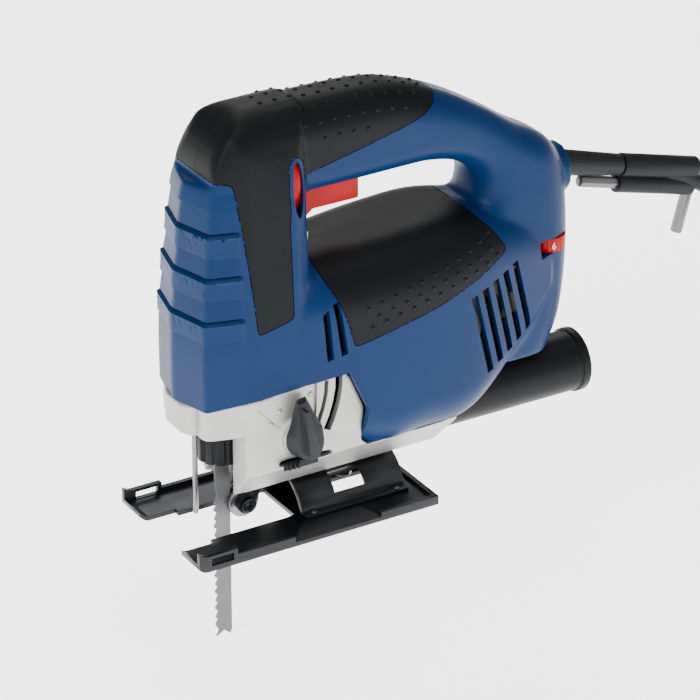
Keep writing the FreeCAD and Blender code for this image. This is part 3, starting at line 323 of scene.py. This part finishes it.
nose = skinned("nose", [nose_ring(*row) for row in between([
    (54, -23.2, 1.0), (100, -23.2, 1.0), (144, -19.5, 0.9), (177, -14.5, 0.8), (201, -1, 0.66)], 6)])
crown = plate("crown", [(-30, 50), (36, 50), (36, 201), (19, 201)]
              + [(19 - 30 * math.sin(a), 171 + 30 * math.cos(a)) for a in
                 [math.radians(7.5 * k) for k in range(1, 13)]] + [(-30, 168)], -60, 60)
combine(nose, crown, "INTERSECT")
arch = [(0, 199.4), (6, 199), (11.5, 197.4), (16.5, 193.6), (20, 188), (22.3, 181), (24.2, 173), (26.4, 163),
        (29, 148), (32, 125), (32, 50)]
hood = plate("hood", arch + [(-y, z) for y, z in arch[:0:-1]], -40, 60, "x")
combine(nose, hood, "INTERSECT")
outside = combine(combine(nose, barrel, "UNION"), handle, "UNION")
outside.name = "outside"
knob_r, knob_z = 11.8, 133        # the boss round the cord's exit
knob_turns = [math.radians(10 * k) for k in range(36)]
combine(outside, plate("knob", [(knob_r * math.cos(a), knob_z + knob_r * math.sin(a)) for a in knob_turns],
                       150, 175.2, "x"), "UNION")
apply_modifier(outside, "REMESH", mode="VOXEL", voxel_size=0.0010)
apply_modifier(outside, "SMOOTH", factor=0.5, iterations=7)
# The places where one volume runs into another are smoothed further, to wide blends.
blends = outside.vertex_groups.new(name="blends")
for (x, z), reach in [((36, 168), 15), ((38, 118), 16), ((34, 148), 9), ((124, 132), 15), ((150, 120), 14),
                      ((168, 148), 6), ((8, 196), 16), ((146, 60), 14)]:
    spot = Vector(drawn(x, 0, z))
    for vertex in outside.data.vertices:
        away = 1000 * math.hypot(vertex.co.x - spot.x, vertex.co.z - spot.z) / reach
        if away < 1:
            blends.add([vertex.index], 1 - away * away, "ADD")
apply_modifier(outside, "SMOOTH", factor=0.6, iterations=45, vertex_group="blends")


def let_in(depth, keep_ratio):
    """The outside, set in by a depth, for hollowing and for beds under the soft grips."""
    inner = copied(outside, "inner")
    apply_modifier(inner, "DISPLACE", strength=-depth, mid_level=0)
    return apply_modifier(inner, "DECIMATE", ratio=keep_ratio)


wall, grip_thick = 0.0032, 0.0014
cavity = let_in(wall, 0.25)
grip_bed = let_in(grip_thick, 0.5)

case_line = [(-41, 66), (46, 77.5), (55, 57), (53.5, 41), (58, 36.5), (104, 38.5), (104, -5), (-41, -5)]
case_zone = plate("case_zone", case_line, -60, 60)
grip_line = [(-34, 186), (-16, 175.2), (-11, 173.8), (-3.2, 172.6), (-2.4, 168), (2.0, 130), (4.5, 103),
             (20.5, 108), (20.8, 150), (22, 163), (33, 168.6), (64, 175.2), (93, 182.2), (102, 186.5),
             (107, 192), (110, 221), (-34, 221)]
grip_corner = 2.2
handle_zone = plate("handle_zone", cornered(grip_line, grip_corner), -60, 60)
bed_line = [(33.5, 139), (37.5, 121), (42, 111), (45, 102), (47, 95), (48.5, 89.5), (90, 100.6), (128.5, 115),
            (124, 123), (112, 137)]
body_zone = plate("body_zone", cornered(bed_line, grip_corner), -60, 60)


def spread(outline, by):
    """The outline moved outwards by a small distance, for the groove round a grip."""
    moved = []
    for before, here, after in zip(outline[-1:] + outline[:-1], outline, outline[1:] + outline[:1]):
        way = Vector((after[0] - before[0], after[1] - before[1])).normalized()
        moved.append((here[0] + way.y * by, here[1] - way.x * by))
    return moved


groove = 0.4
lock_rim = 2.2        # blue rim round the lock button's slot
lock_line = [(26.4 + 3.0 * math.cos(math.radians(15 * k)), 165 + 12.6 * math.sin(math.radians(15 * k)))
             for k in range(24)]
handle_bed = plate("handle_bed", spread(cornered(grip_line, grip_corner), groove), -60, 60)
body_bed = plate("body_bed", spread(cornered(bed_line, grip_corner), groove), -60, 60)
combine(handle_zone, plate("rim", spread(lock_line, lock_rim), -60, -1))
combine(handle_bed, plate("rim", spread(lock_line, lock_rim - groove), -60, -1))
cover_line = [(-41, 66), (3.6, 70.4), (2.8, 108), (1.6, 130), (-3, 168), (-13, 176), (-41, 196)]
cover_zone = plate("cover_zone", cover_line, -60, 60)


def slots(rows):
    return [plate("slot", row, -60, 60) for row in rows]


vent_rows = [[(106 + 6.3 * i, 99 + 2 * i), (109.4 + 6.3 * i, 100 + 2 * i), (120 + 6.3 * i, 60 + 2.8 * i),
              (116.6 + 6.3 * i, 59 + 2.8 * i)] for i in range(5)]
vent_rows += [[(33.5, 107), (36.5, 109), (38.5, 85.5), (35.5, 84.5)],
              [(38.5, 111), (41.5, 112), (45, 87), (42, 86)]]


def disc(x, z, radius, low, high, axis="y", sides=32):
    return plate("disc", [(x + radius * math.cos(2 * math.pi * k / sides),
                           z + radius * math.sin(2 * math.pi * k / sides))
                          for k in range(sides)], low, high, axis)


def block(x0, x1, y0, y1, z0, z1):
    return plate("block", [(x0, z0), (x1, z0), (x1, z1), (x0, z1)], y0, y1)


def lock_slot():
    return plate("lock_slot", lock_line, -60, -8)


openings = slots(vent_rows) + [block(35.7, 66.3, -8.3, 8.3, 144, 167), lock_slot(),
                               disc(0, 134, 6.55, 168.5, 200, "x"), disc(0, 32.5, 14.5, 104, 260, "x"),
                               block(151.5, 171.5, -60, -8, 101.2, 108.3)]
screw_places = [(29, 147.6), (101, 171), (155, 121), (163, 68), (48, 121.8)]
openings += [disc(x, z, 3.5, 12, 60) for x, z in screw_places]
skin = combine(copied(outside, "skin"), grip_bed, keep=True)
shell = combine(copied(outside, "shell"), cavity, keep=True)
handle_skin = combine(copied(skin, "handle_skin"), handle_zone, "INTERSECT", keep=True)
body_skin = combine(copied(skin, "body_skin"), body_zone, "INTERSECT", keep=True)
cover = combine(copied(shell, "cover"), cover_zone, "INTERSECT", keep=True)
combine(cover, case_zone, keep=True)
for bed in (handle_bed, body_bed):
    taken = combine(copied(skin, "taken"), bed, "INTERSECT")
    combine(shell, taken, keep=True)
    combine(cover, taken)
combine(shell, cover_zone, keep=True)
combine(shell, case_zone, keep=True)
for opening in openings:
    combine(handle_skin, opening, keep=True)
    combine(body_skin, opening, keep=True)
    combine(shell, opening)


def half_of(piece, name, side):
    """One moulded half: the piece up to a hair's breadth from the middle plane."""
    keep = block(-80, 260, *((-80, -0.06) if side < 0 else (0.06, 80)), -10, 240)
    twin = combine(copied(piece, name), keep, "INTERSECT")
    return mesh_edit(twin, lambda: bpy.ops.mesh.remove_doubles(threshold=2e-6))


def rounded_look(piece, angle=38):
    bpy.ops.object.select_all(action="DESELECT")
    bpy.context.view_layer.objects.active = piece
    piece.select_set(True)
    bpy.ops.object.shade_smooth_by_angle(angle=math.radians(angle))
    return piece


blue_nylon = surface("blue_nylon", (0.0, 0.021, 0.085), 0.40, patch=25, grain=0.16, grain_size=0.00035,
                     second=(0.0, 0.018, 0.075))
grip_rubber = surface("grip_rubber", (0.003, 0.0034, 0.0042), 0.5, patch=40, grain=0.4, grain_size=0.0005)
for piece, stem, finish, slot in [(shell, "housing", blue_nylon, "moulded_plastic"),
                                  (handle_skin, "handle_grip", grip_rubber, "soft_grip"),
                                  (body_skin, "body_grip", grip_rubber, "soft_grip")]:
    for name, side in ((stem + "_left", -1), (stem + "_right", 1)):
        half = rounded_look(half_of(piece, name + "_moulded", side))
        coat(half, finish, slot)
        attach(half, "housing")
        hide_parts(name)
    bpy.data.objects.remove(piece)

# Moulded shingles across the nose: three pairs of level bands. Each pair stands a little
# prouder than the one above, with a lip between pairs and a fine step within a pair.
lips = [150.7, 131.0, 111.2]
fine_steps = [161.7, 140.3, 121.0, 101.4]
profile = [(240, 0), (169, 0)]
for lip, fine in zip(lips, fine_steps):
    profile += [(fine + 0.3, 0.6), (fine - 0.2, -0.45), (lip + 1.0, 0.1), (lip + 0.6, -1.0),
                (lip - 1.0, 1.25)]
profile += [(fine_steps[3] + 0.3, 0.45), (fine_steps[3] - 0.3, -0.15), (97, 0), (0, 0)]


def slice_at(height):
    bpy.ops.mesh.select_all(action="SELECT")
    bpy.ops.mesh.bisect(plane_co=drawn(0, 0, height), plane_no=(0, 0, 1))


mesh_edit(cover, *[lambda h=h: slice_at(h) for h, _ in profile[1:-1]])
axis_x = drawn(10, 0, 0)[0]
for vertex in cover.data.vertices:
    height = vertex.co.z * 1000
    outwards_way = Vector((vertex.normal.x, vertex.normal.y, 0))
    from_axis = Vector((vertex.co.x - axis_x, vertex.co.y, 0))
    if outwards_way.length < 0.5 or outwards_way.dot(from_axis) <= 0:
        continue
    for (high, proud), (low, next_proud) in zip(profile, profile[1:]):
        if low <= height <= high:
            share = (high - height) / (high - low)
            fade = min(max((-1.2 - (vertex.co.x * 1000 + 34)) / 2.2, 0), 1)
            shift = (proud + (next_proud - proud) * share) * fade / 1000
            vertex.co += outwards_way.normalized() * shift
            break
rounded_look(cover, 30)
cover.name = "front_cover_moulded"
coat(cover, blue_nylon, "moulded_plastic")
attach(cover, "housing")
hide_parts("front_cover")
for spare in (outside, cavity, grip_bed, skin, case_zone, handle_zone, body_zone, cover_zone):
    bpy.data.objects.remove(spare)

# Small round studs stand on the soft grips so that a gloved hand doesn't slip: four
# rows along the top of the handle on each side, and three rows low on the body grip.
def stud(host, place, normal, radius=0.00125):
    bpy.ops.mesh.primitive_uv_sphere_add(segments=12, ring_count=8, radius=radius,
                                         location=place - normal * radius * 0.45)
    return bpy.context.object


def studded(host, rays):
    """Adds a stud where each ray, from a point outwards to the skin, leaves the grip."""
    studs = []
    for start, way in rays:
        hit, place, normal, _ = host.ray_cast(start + way * 0.08, -way)
        if hit:
            studs.append(stud(host, place, normal))
    if studs:
        bpy.ops.object.select_all(action="DESELECT")
        for one in studs:
            one.select_set(True)
        host.select_set(True)
        bpy.context.view_layer.objects.active = host
        bpy.ops.object.transform_apply()
        bpy.ops.object.join()
        rounded_look(host)
        coat(host, grip_rubber, "soft_grip")


handle_rows = [(10, 19.6, 12), (33, 27, 10), (54, 34.5, 8), (76, 43, 4)]
body_rows = [(54.5, 106.4, 11), (59.5, 102.4, 10), (56.5, 97.2, 11)]
for side, name in ((-1, "left"), (1, "right")):
    rays = []
    for lean, first, count in handle_rows:
        for k in range(count):
            x = first + 7.15 * k
            centre = 178.5 - 0.0030 * max(x - 55, 0) ** 2
            rays.append((Vector(drawn(x, 0, centre)),
                         Vector((0, side * math.sin(math.radians(lean)), math.cos(math.radians(lean))))))
    studded(bpy.data.objects[f"handle_grip_{name}_moulded"], rays)
    rays = []
    for x, z, count in body_rows:
        for k in range(count):
            rays.append((Vector(drawn(x + 6.6 * k, 0, z + 1.75 * k)), Vector((0, side, 0))))
    studded(bpy.data.objects[f"body_grip_{name}_moulded"], rays)

# ------------------------------------------------------------- cast gear case
# A die-cast aluminium tub under the nose. It closes the gear room, guides the rod, and
# carries the lever, the blower slide and the foot. The casting is blasted to a pale grain.
def merged_copy(node, name):
    """A new piece with its own copy of a solid's mesh, its loose corners merged."""
    solid = frame["nodes"][node]
    twin = bpy.data.objects.new(name, solid.data.copy())
    twin.matrix_basis = solid.matrix_basis.copy()
    bpy.context.scene.collection.objects.link(twin)
    return mesh_edit(twin, lambda: bpy.ops.mesh.remove_doubles(threshold=1e-6))


def whole_faces(angle=1.5):
    bpy.ops.mesh.select_all(action="SELECT")
    bpy.ops.mesh.dissolve_limited(angle_limit=math.radians(angle))


def eased_edges(piece, width, segments=2):
    """Breaks the sharp edges of a piece, as tumbling or moulding does."""
    apply_modifier(piece, "BEVEL", width=width, segments=segments, limit_method="ANGLE",
                   angle_limit=math.radians(32), use_clamp_overlap=True)
    return rounded_look(piece)


cast_grain = surface("cast_grain", (0.46, 0.455, 0.44), 0.42, patch=70, second=(0.38, 0.375, 0.365),
                     metallic=0.55, grain=0.5, grain_size=0.0007, wear=0.05)
front_proud = 0.0024        # how far the case's front stands before its solid's
case = merged_copy("gear_case", "gear_case_cast")
apply_modifier(case, "REMESH", mode="VOXEL", voxel_size=0.00085)
apply_modifier(case, "SMOOTH", factor=0.5, iterations=3)
for vertex in case.data.vertices:
    x, y = vertex.co.x * 1000 + 34, abs(vertex.co.y) * 1000
    if y < 12:
        front = min(max((-16 - x) / 3, 0), 1)
    else:
        front = min(max((y - 12) / 5, 0), 1) * min(max((-6 - x) / 5, 0), 1)
    vertex.co.x -= front_proud * front


def arc_slot(points, half):
    """A curved slot through the near wall, drawn by its middle line."""
    left, right = [], []
    for k, (x, z) in enumerate(points):
        a, b = points[max(k - 1, 0)], points[min(k + 1, len(points) - 1)]
        way = Vector((b[0] - a[0], b[1] - a[1])).normalized()
        left.append((x - way.y * half, z + way.x * half))
        right.append((x + way.y * half, z - way.x * half))
    return left + right[::-1]


slot_lines = [([(36.6, 74.2), (36.2, 68), (34.9, 62), (33.0, 56.5), (31.2, 52.5)], 1.0),
              ([(42.6, 75.6), (42.4, 69), (41.2, 62.5), (39.2, 56), (36.6, 50)], 1.8)]
for line, half in slot_lines:
    combine(case, plate("slot", arc_slot(line, half), -60, -24.2))
wedge = plate("wedge", [(28.4, 73.5), (32.0, 74.6), (31.6, 60), (30.6, 56)], -60, -28.3)
combine(case, wedge)


def wall_y(x):
    """The near wall leans out a little towards the back."""
    return -27.5 - (x - 3) * 4 / 57


for x, z in [(9.3, 59.3), (13.8, 64.5), (28.6, 69.4)]:
    bpy.ops.mesh.primitive_uv_sphere_add(segments=20, ring_count=12, radius=0.0013,
                                         location=drawn(x, wall_y(x), z), scale=(1, 0.55, 1))
    dot = bpy.context.object
    bpy.ops.object.transform_apply()
    combine(case, dot, "UNION")
sector_edge = [(3.8, 66.8), (10, 59.8), (16.0, 52.8), (21.2, 46.6)]
for (x0, z0), (x1, z1) in zip(sector_edge, sector_edge[1:]):
    start, end = Vector(drawn(x0, wall_y(x0), z0)), Vector(drawn(x1, wall_y(x1), z1))
    bpy.ops.mesh.primitive_cylinder_add(vertices=12, radius=0.0004, depth=(end - start).length + 0.0003,
                                        location=(start + end) / 2,
                                        rotation=(end - start).to_track_quat("Z", "Y").to_euler())
    bead = bpy.context.object
    bpy.ops.object.transform_apply()
    combine(case, bead, "UNION")
combine(case, disc(9.0, 25.6, 1.7, -60, -25.4, sides=20))
apply_modifier(case, "DECIMATE", ratio=0.7)
rounded_look(case, 40)
coat(case, cast_grain, "cast_alloy")
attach(case, "housing")
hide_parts("gear_case")

# -------------------------------------------------- blade, clamp and fasteners
# Ground and hardened steel: the tapered blade with its teeth set left and right in turn,
# the turning clamp collar in black plastic, the guard wire, and the screws of the shell.
ground_steel = surface("ground_steel", (0.150, 0.153, 0.158), 0.42, patch=120, second=(0.105, 0.108, 0.112),
                       metallic=0.55, grain=0.15, grain_size=0.0003, wear=0.05, scratch=0.35)
bright_steel = surface("bright_steel", (0.22, 0.22, 0.225), 0.28, patch=150, second=(0.16, 0.16, 0.165),
                       metallic=0.85, grain=0.1, grain_size=0.0002, wear=0.04, scratch=0.2)
black_nylon = surface("black_nylon", (0.006, 0.0065, 0.0075), 0.40, patch=60, grain=0.25, grain_size=0.0004)
signal_red = surface("signal_red", (0.42, 0.0, 0.002), 0.30, patch=60, second=(0.36, 0.0, 0.001), grain=0.12,
                     grain_size=0.0004)
lever_grey = surface("lever_grey", (0.020, 0.023, 0.026), 0.42, patch=60, grain=0.3, grain_size=0.0004)
foot_enamel = surface("foot_enamel", (0.010, 0.011, 0.013), 0.33, patch=60, second=(0.020, 0.022, 0.025),
                      metallic=0.65, grain=0.2, grain_size=0.0006, wear=0.08)
saddle_steel = surface("saddle_steel", (0.020, 0.022, 0.024), 0.30, patch=50, second=(0.036, 0.038, 0.041),
                       metallic=0.85, grain=0.15, grain_size=0.0004, wear=0.06, scratch=0.2)
key_steel = surface("key_steel", (0.10, 0.10, 0.105), 0.35, patch=90, second=(0.16, 0.16, 0.165),
                    metallic=0.9, grain=0.15, grain_size=0.0003, wear=0.05)


slot_of = {row["node"]: row["material_slot"] for row in frame["record"]["subparts"]}


def finished(node, body, finish, edge=0.3, segments=2, change=None):
    """The finished form of a solid: merged, its edges broken, and any change made to it."""
    piece = mesh_edit(merged_copy(node, node + "_finished"), whole_faces)
    if change:
        change(piece)
    if edge:
        eased_edges(piece, edge / 1000, segments)
    else:
        rounded_look(piece)
    coat(piece, finish, slot_of[node])
    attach(piece, body)
    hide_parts(node)
    return piece


def set_teeth(blade):
    """Bends the teeth out of the blade's plane in turn, the way a saw is set."""
    for vertex in blade.data.vertices:
        x, z = vertex.co.x * 1000 + 34, vertex.co.z * 1000
        if z < 13 and x < -2.4:
            tooth = int((14 - z) / 4.2)
            vertex.co.y += (0.00035 if tooth % 2 else -0.00035) * min((-2.4 - x) / 1.4, 1)


def slim_key(lever):
    """Narrows the lever's blade about its pivot and leans its tip towards the front."""
    for vertex in lever.data.vertices:
        x, y, z = vertex.co.x * 1000 + 34, vertex.co.y * 1000, vertex.co.z * 1000
        if y < -32.5:
            across = (x - 24) * (0.74 if z < 58 else 0.85) + (51 - z) * 0.13
            vertex.co.x = (24 + across - 34) / 1000


finished("saw_blade", "stroke", ground_steel, edge=0, change=set_teeth)
finished("guard_rod", "housing", bright_steel, edge=0.3)
finished("clamp_collar", "collar", black_nylon, edge=0.35)
finished("clamp_body", "stroke", bright_steel, edge=0.25)
finished("housing_screws", "housing", bright_steel, edge=0.3)
finished("pendulum_fork", "fork", black_nylon, edge=0.4)
finished("guide_roller", "roller", bright_steel, edge=0.3)
finished("roller_screw", "fork", saddle_steel, edge=0.2)
finished("orbit_lever", "lever", lever_grey, edge=1.1, segments=4, change=slim_key)
finished("blower_slide", "blower", black_nylon, edge=0.25)


# ----------------------------------------------------------------------- foot
# Pressed steel, about 2 mm thick, enamelled nearly black: an open sole with turned-up
# rims, toes that curl up, and a half-round saddle riveted on, in which the foot tilts.
def curl_toes(foot):
    for x in (-29.6, -28.2, -26.8):
        mesh_edit(foot, lambda x=x: (bpy.ops.mesh.select_all(action="SELECT"),
                                     bpy.ops.mesh.bisect(plane_co=drawn(x, 0, 0), plane_no=(1, 0, 0))))
    for vertex in foot.data.vertices:
        past = (-26.8 - (vertex.co.x * 1000 + 34)) / 4.2
        if past > 0:
            vertex.co.z += 0.0019 * past * past


finished("foot_plate", "foot", foot_enamel, edge=0.7, segments=3, change=curl_toes)
finished("foot_bracket", "foot", saddle_steel, edge=0.5)
finished("foot_rivets", "foot", bright_steel, edge=0.2)
finished("foot_clamp_plate", "carriage", bright_steel, edge=0.3)
finished("foot_clamp_screw", "housing", bright_steel, edge=0.25)

# ------------------------------------------------------------ dust tube, controls
# The dust tube, trigger, lock key and dial are injection moulded; the red ones are the
# parts that a hand moves. The dial carries a numeral that stands slightly proud.
def deepened(trigger):
    """Brings the bar's underside down to the depth of a fingertip."""
    for vertex in trigger.data.vertices:
        if 0.149 < vertex.co.z < 0.153:
            vertex.co.z -= 0.0052


finished("dust_tube", "housing", black_nylon, edge=0.5, segments=3)
finished("trigger", "trigger_key", signal_red, edge=0.8, segments=3, change=deepened)
finished("lock_button", "lock_key", signal_red, edge=0.8, segments=3)
finished("speed_dial", "dial", signal_red, edge=0.2)
white_ink = surface("white_ink", (0.75, 0.75, 0.73), 0.5, patch=300, grain=0.1, grain_size=0.0002)
bpy.ops.object.select_all(action="DESELECT")
bpy.ops.object.text_add(location=drawn(160.2, -20.72, 103.1), rotation=(math.radians(90), 0, 0))
numeral = bpy.context.object
numeral.name = "dial_numeral"
numeral.data.body = "6"
numeral.data.size = 0.0046
numeral.data.extrude = 0.00012
numeral.data.align_x = "CENTER"
bpy.ops.object.convert(target="MESH")
bpy.ops.object.transform_apply()
coat(numeral, white_ink, slot_of["speed_dial"])
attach(numeral, "dial")

# ---------------------------------------------------------- cord fittings, key
# The tapered sleeve, the clip and the plug are moulded rubber over the lead; the hexagon
# key for the foot is held by the clip along the underside of the lead.
finished("cord_sleeve", "housing", rubber, edge=0.5)
clip = finished("key_clip", "housing", rubber, edge=0.5)
key = finished("hex_key", "housing", key_steel, edge=0.25)
tie = finished("coil_tie", "housing", black_nylon, edge=0.4)
plug = finished("mains_plug", "housing", black_nylon, edge=0.9, segments=3)

# --------------------------------------------------------------- trigger spring
# A short wire spring between the trigger's stem and the switch, given a mesh of its own and left in one
# shape.
spring = finished("trigger_spring", "housing", bright_steel, edge=0)
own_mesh(spring)

# ------------------------------------------------------------- inner workings
# The motor, gears, rod, switch and speed board inside keep their solid forms. Each gets
# the finish of its own metal, sheet stack, wire, carbon or board.
copper_wire = surface("copper_wire", (0.42, 0.12, 0.045), 0.32, patch=300, second=(0.30, 0.08, 0.03),
                      metallic=0.9, grain=0.8, grain_size=0.0006)
iron_stack = surface("iron_stack", (0.16, 0.16, 0.17), 0.45, patch=200, second=(0.10, 0.10, 0.11),
                     metallic=0.9, grain=0.8, grain_size=0.0004, scratch=0.6)
brass = surface("brass", (0.50, 0.36, 0.12), 0.30, patch=150, second=(0.40, 0.28, 0.09),
                metallic=1.0, grain=0.2)
carbon_block = surface("carbon_block", (0.02, 0.02, 0.021), 0.60, patch=300, grain=0.4, grain_size=0.0003)
bush_bronze = surface("bush_bronze", (0.35, 0.22, 0.10), 0.45, patch=300, second=(0.27, 0.17, 0.08),
                      metallic=0.9, grain=0.5, grain_size=0.0003)
green_board = surface("green_board", (0.01, 0.09, 0.03), 0.40, patch=200, second=(0.012, 0.06, 0.025),
                      grain=0.3)
inner_finish = {"moulded_plastic": blue_nylon, "soft_grip": grip_rubber, "red_plastic": signal_red,
                "cast_alloy": cast_grain, "bright_steel": bright_steel, "blade_steel": ground_steel,
                "foot_steel": foot_enamel, "black_plastic": black_nylon, "lever_plastic": lever_grey,
                "copper_wire": copper_wire, "laminated_iron": iron_stack, "brass_sheet": brass,
                "carbon": carbon_block, "bush_bronze": bush_bronze, "circuit_board": green_board,
                "black_rubber": rubber, "key_steel": key_steel}
for node, slot in slot_of.items():
    solid = frame["nodes"][node]
    solid.data.materials.clear()
    solid.data.materials.append(inner_finish[slot])

# ---------------------------------------------------------------- the room
# A plain pale floor and backdrop, a large soft key light from the upper left, a broad
# fill from the right, and a strip behind the tool that draws out its edges.
bpy.ops.object.select_all(action="DESELECT")
bpy.ops.mesh.primitive_plane_add(size=12, location=(0, 0, floor_z - 0.0006))
floor = bpy.context.object
floor.name = "floor"
paper = surface("paper", (0.93, 0.93, 0.93), 0.9, patch=2, second=(0.91, 0.91, 0.91))
paper.node_tree.nodes["Principled BSDF"].inputs["Emission Color"].default_value = (1, 1, 1, 1)
paper.node_tree.nodes["Principled BSDF"].inputs["Emission Strength"].default_value = 3.0
floor.data.materials.append(paper)
for name, place, size, power in [("key", (-1.7, -0.9, 1.1), 0.9, 26), ("fill", (1.2, -1.7, 0.9), 1.4, 8),
                                 ("rim", (0.7, 1.4, 1.3), 1.0, 12), ("top", (0.0, -0.2, 1.9), 1.2, 15)]:
    bpy.ops.object.light_add(type="AREA", location=place)
    light = bpy.context.object
    light.name = name
    light.data.size = size
    light.data.energy = power
    light.rotation_euler = (Vector(place) - aim).to_track_quat("Z", "Y").to_euler()
world = bpy.data.worlds.new("room")
bpy.context.scene.world = world
world.use_nodes = True
world.node_tree.nodes["Background"].inputs["Color"].default_value = (1, 1, 1, 1)
world.node_tree.nodes["Background"].inputs["Strength"].default_value = 0.3
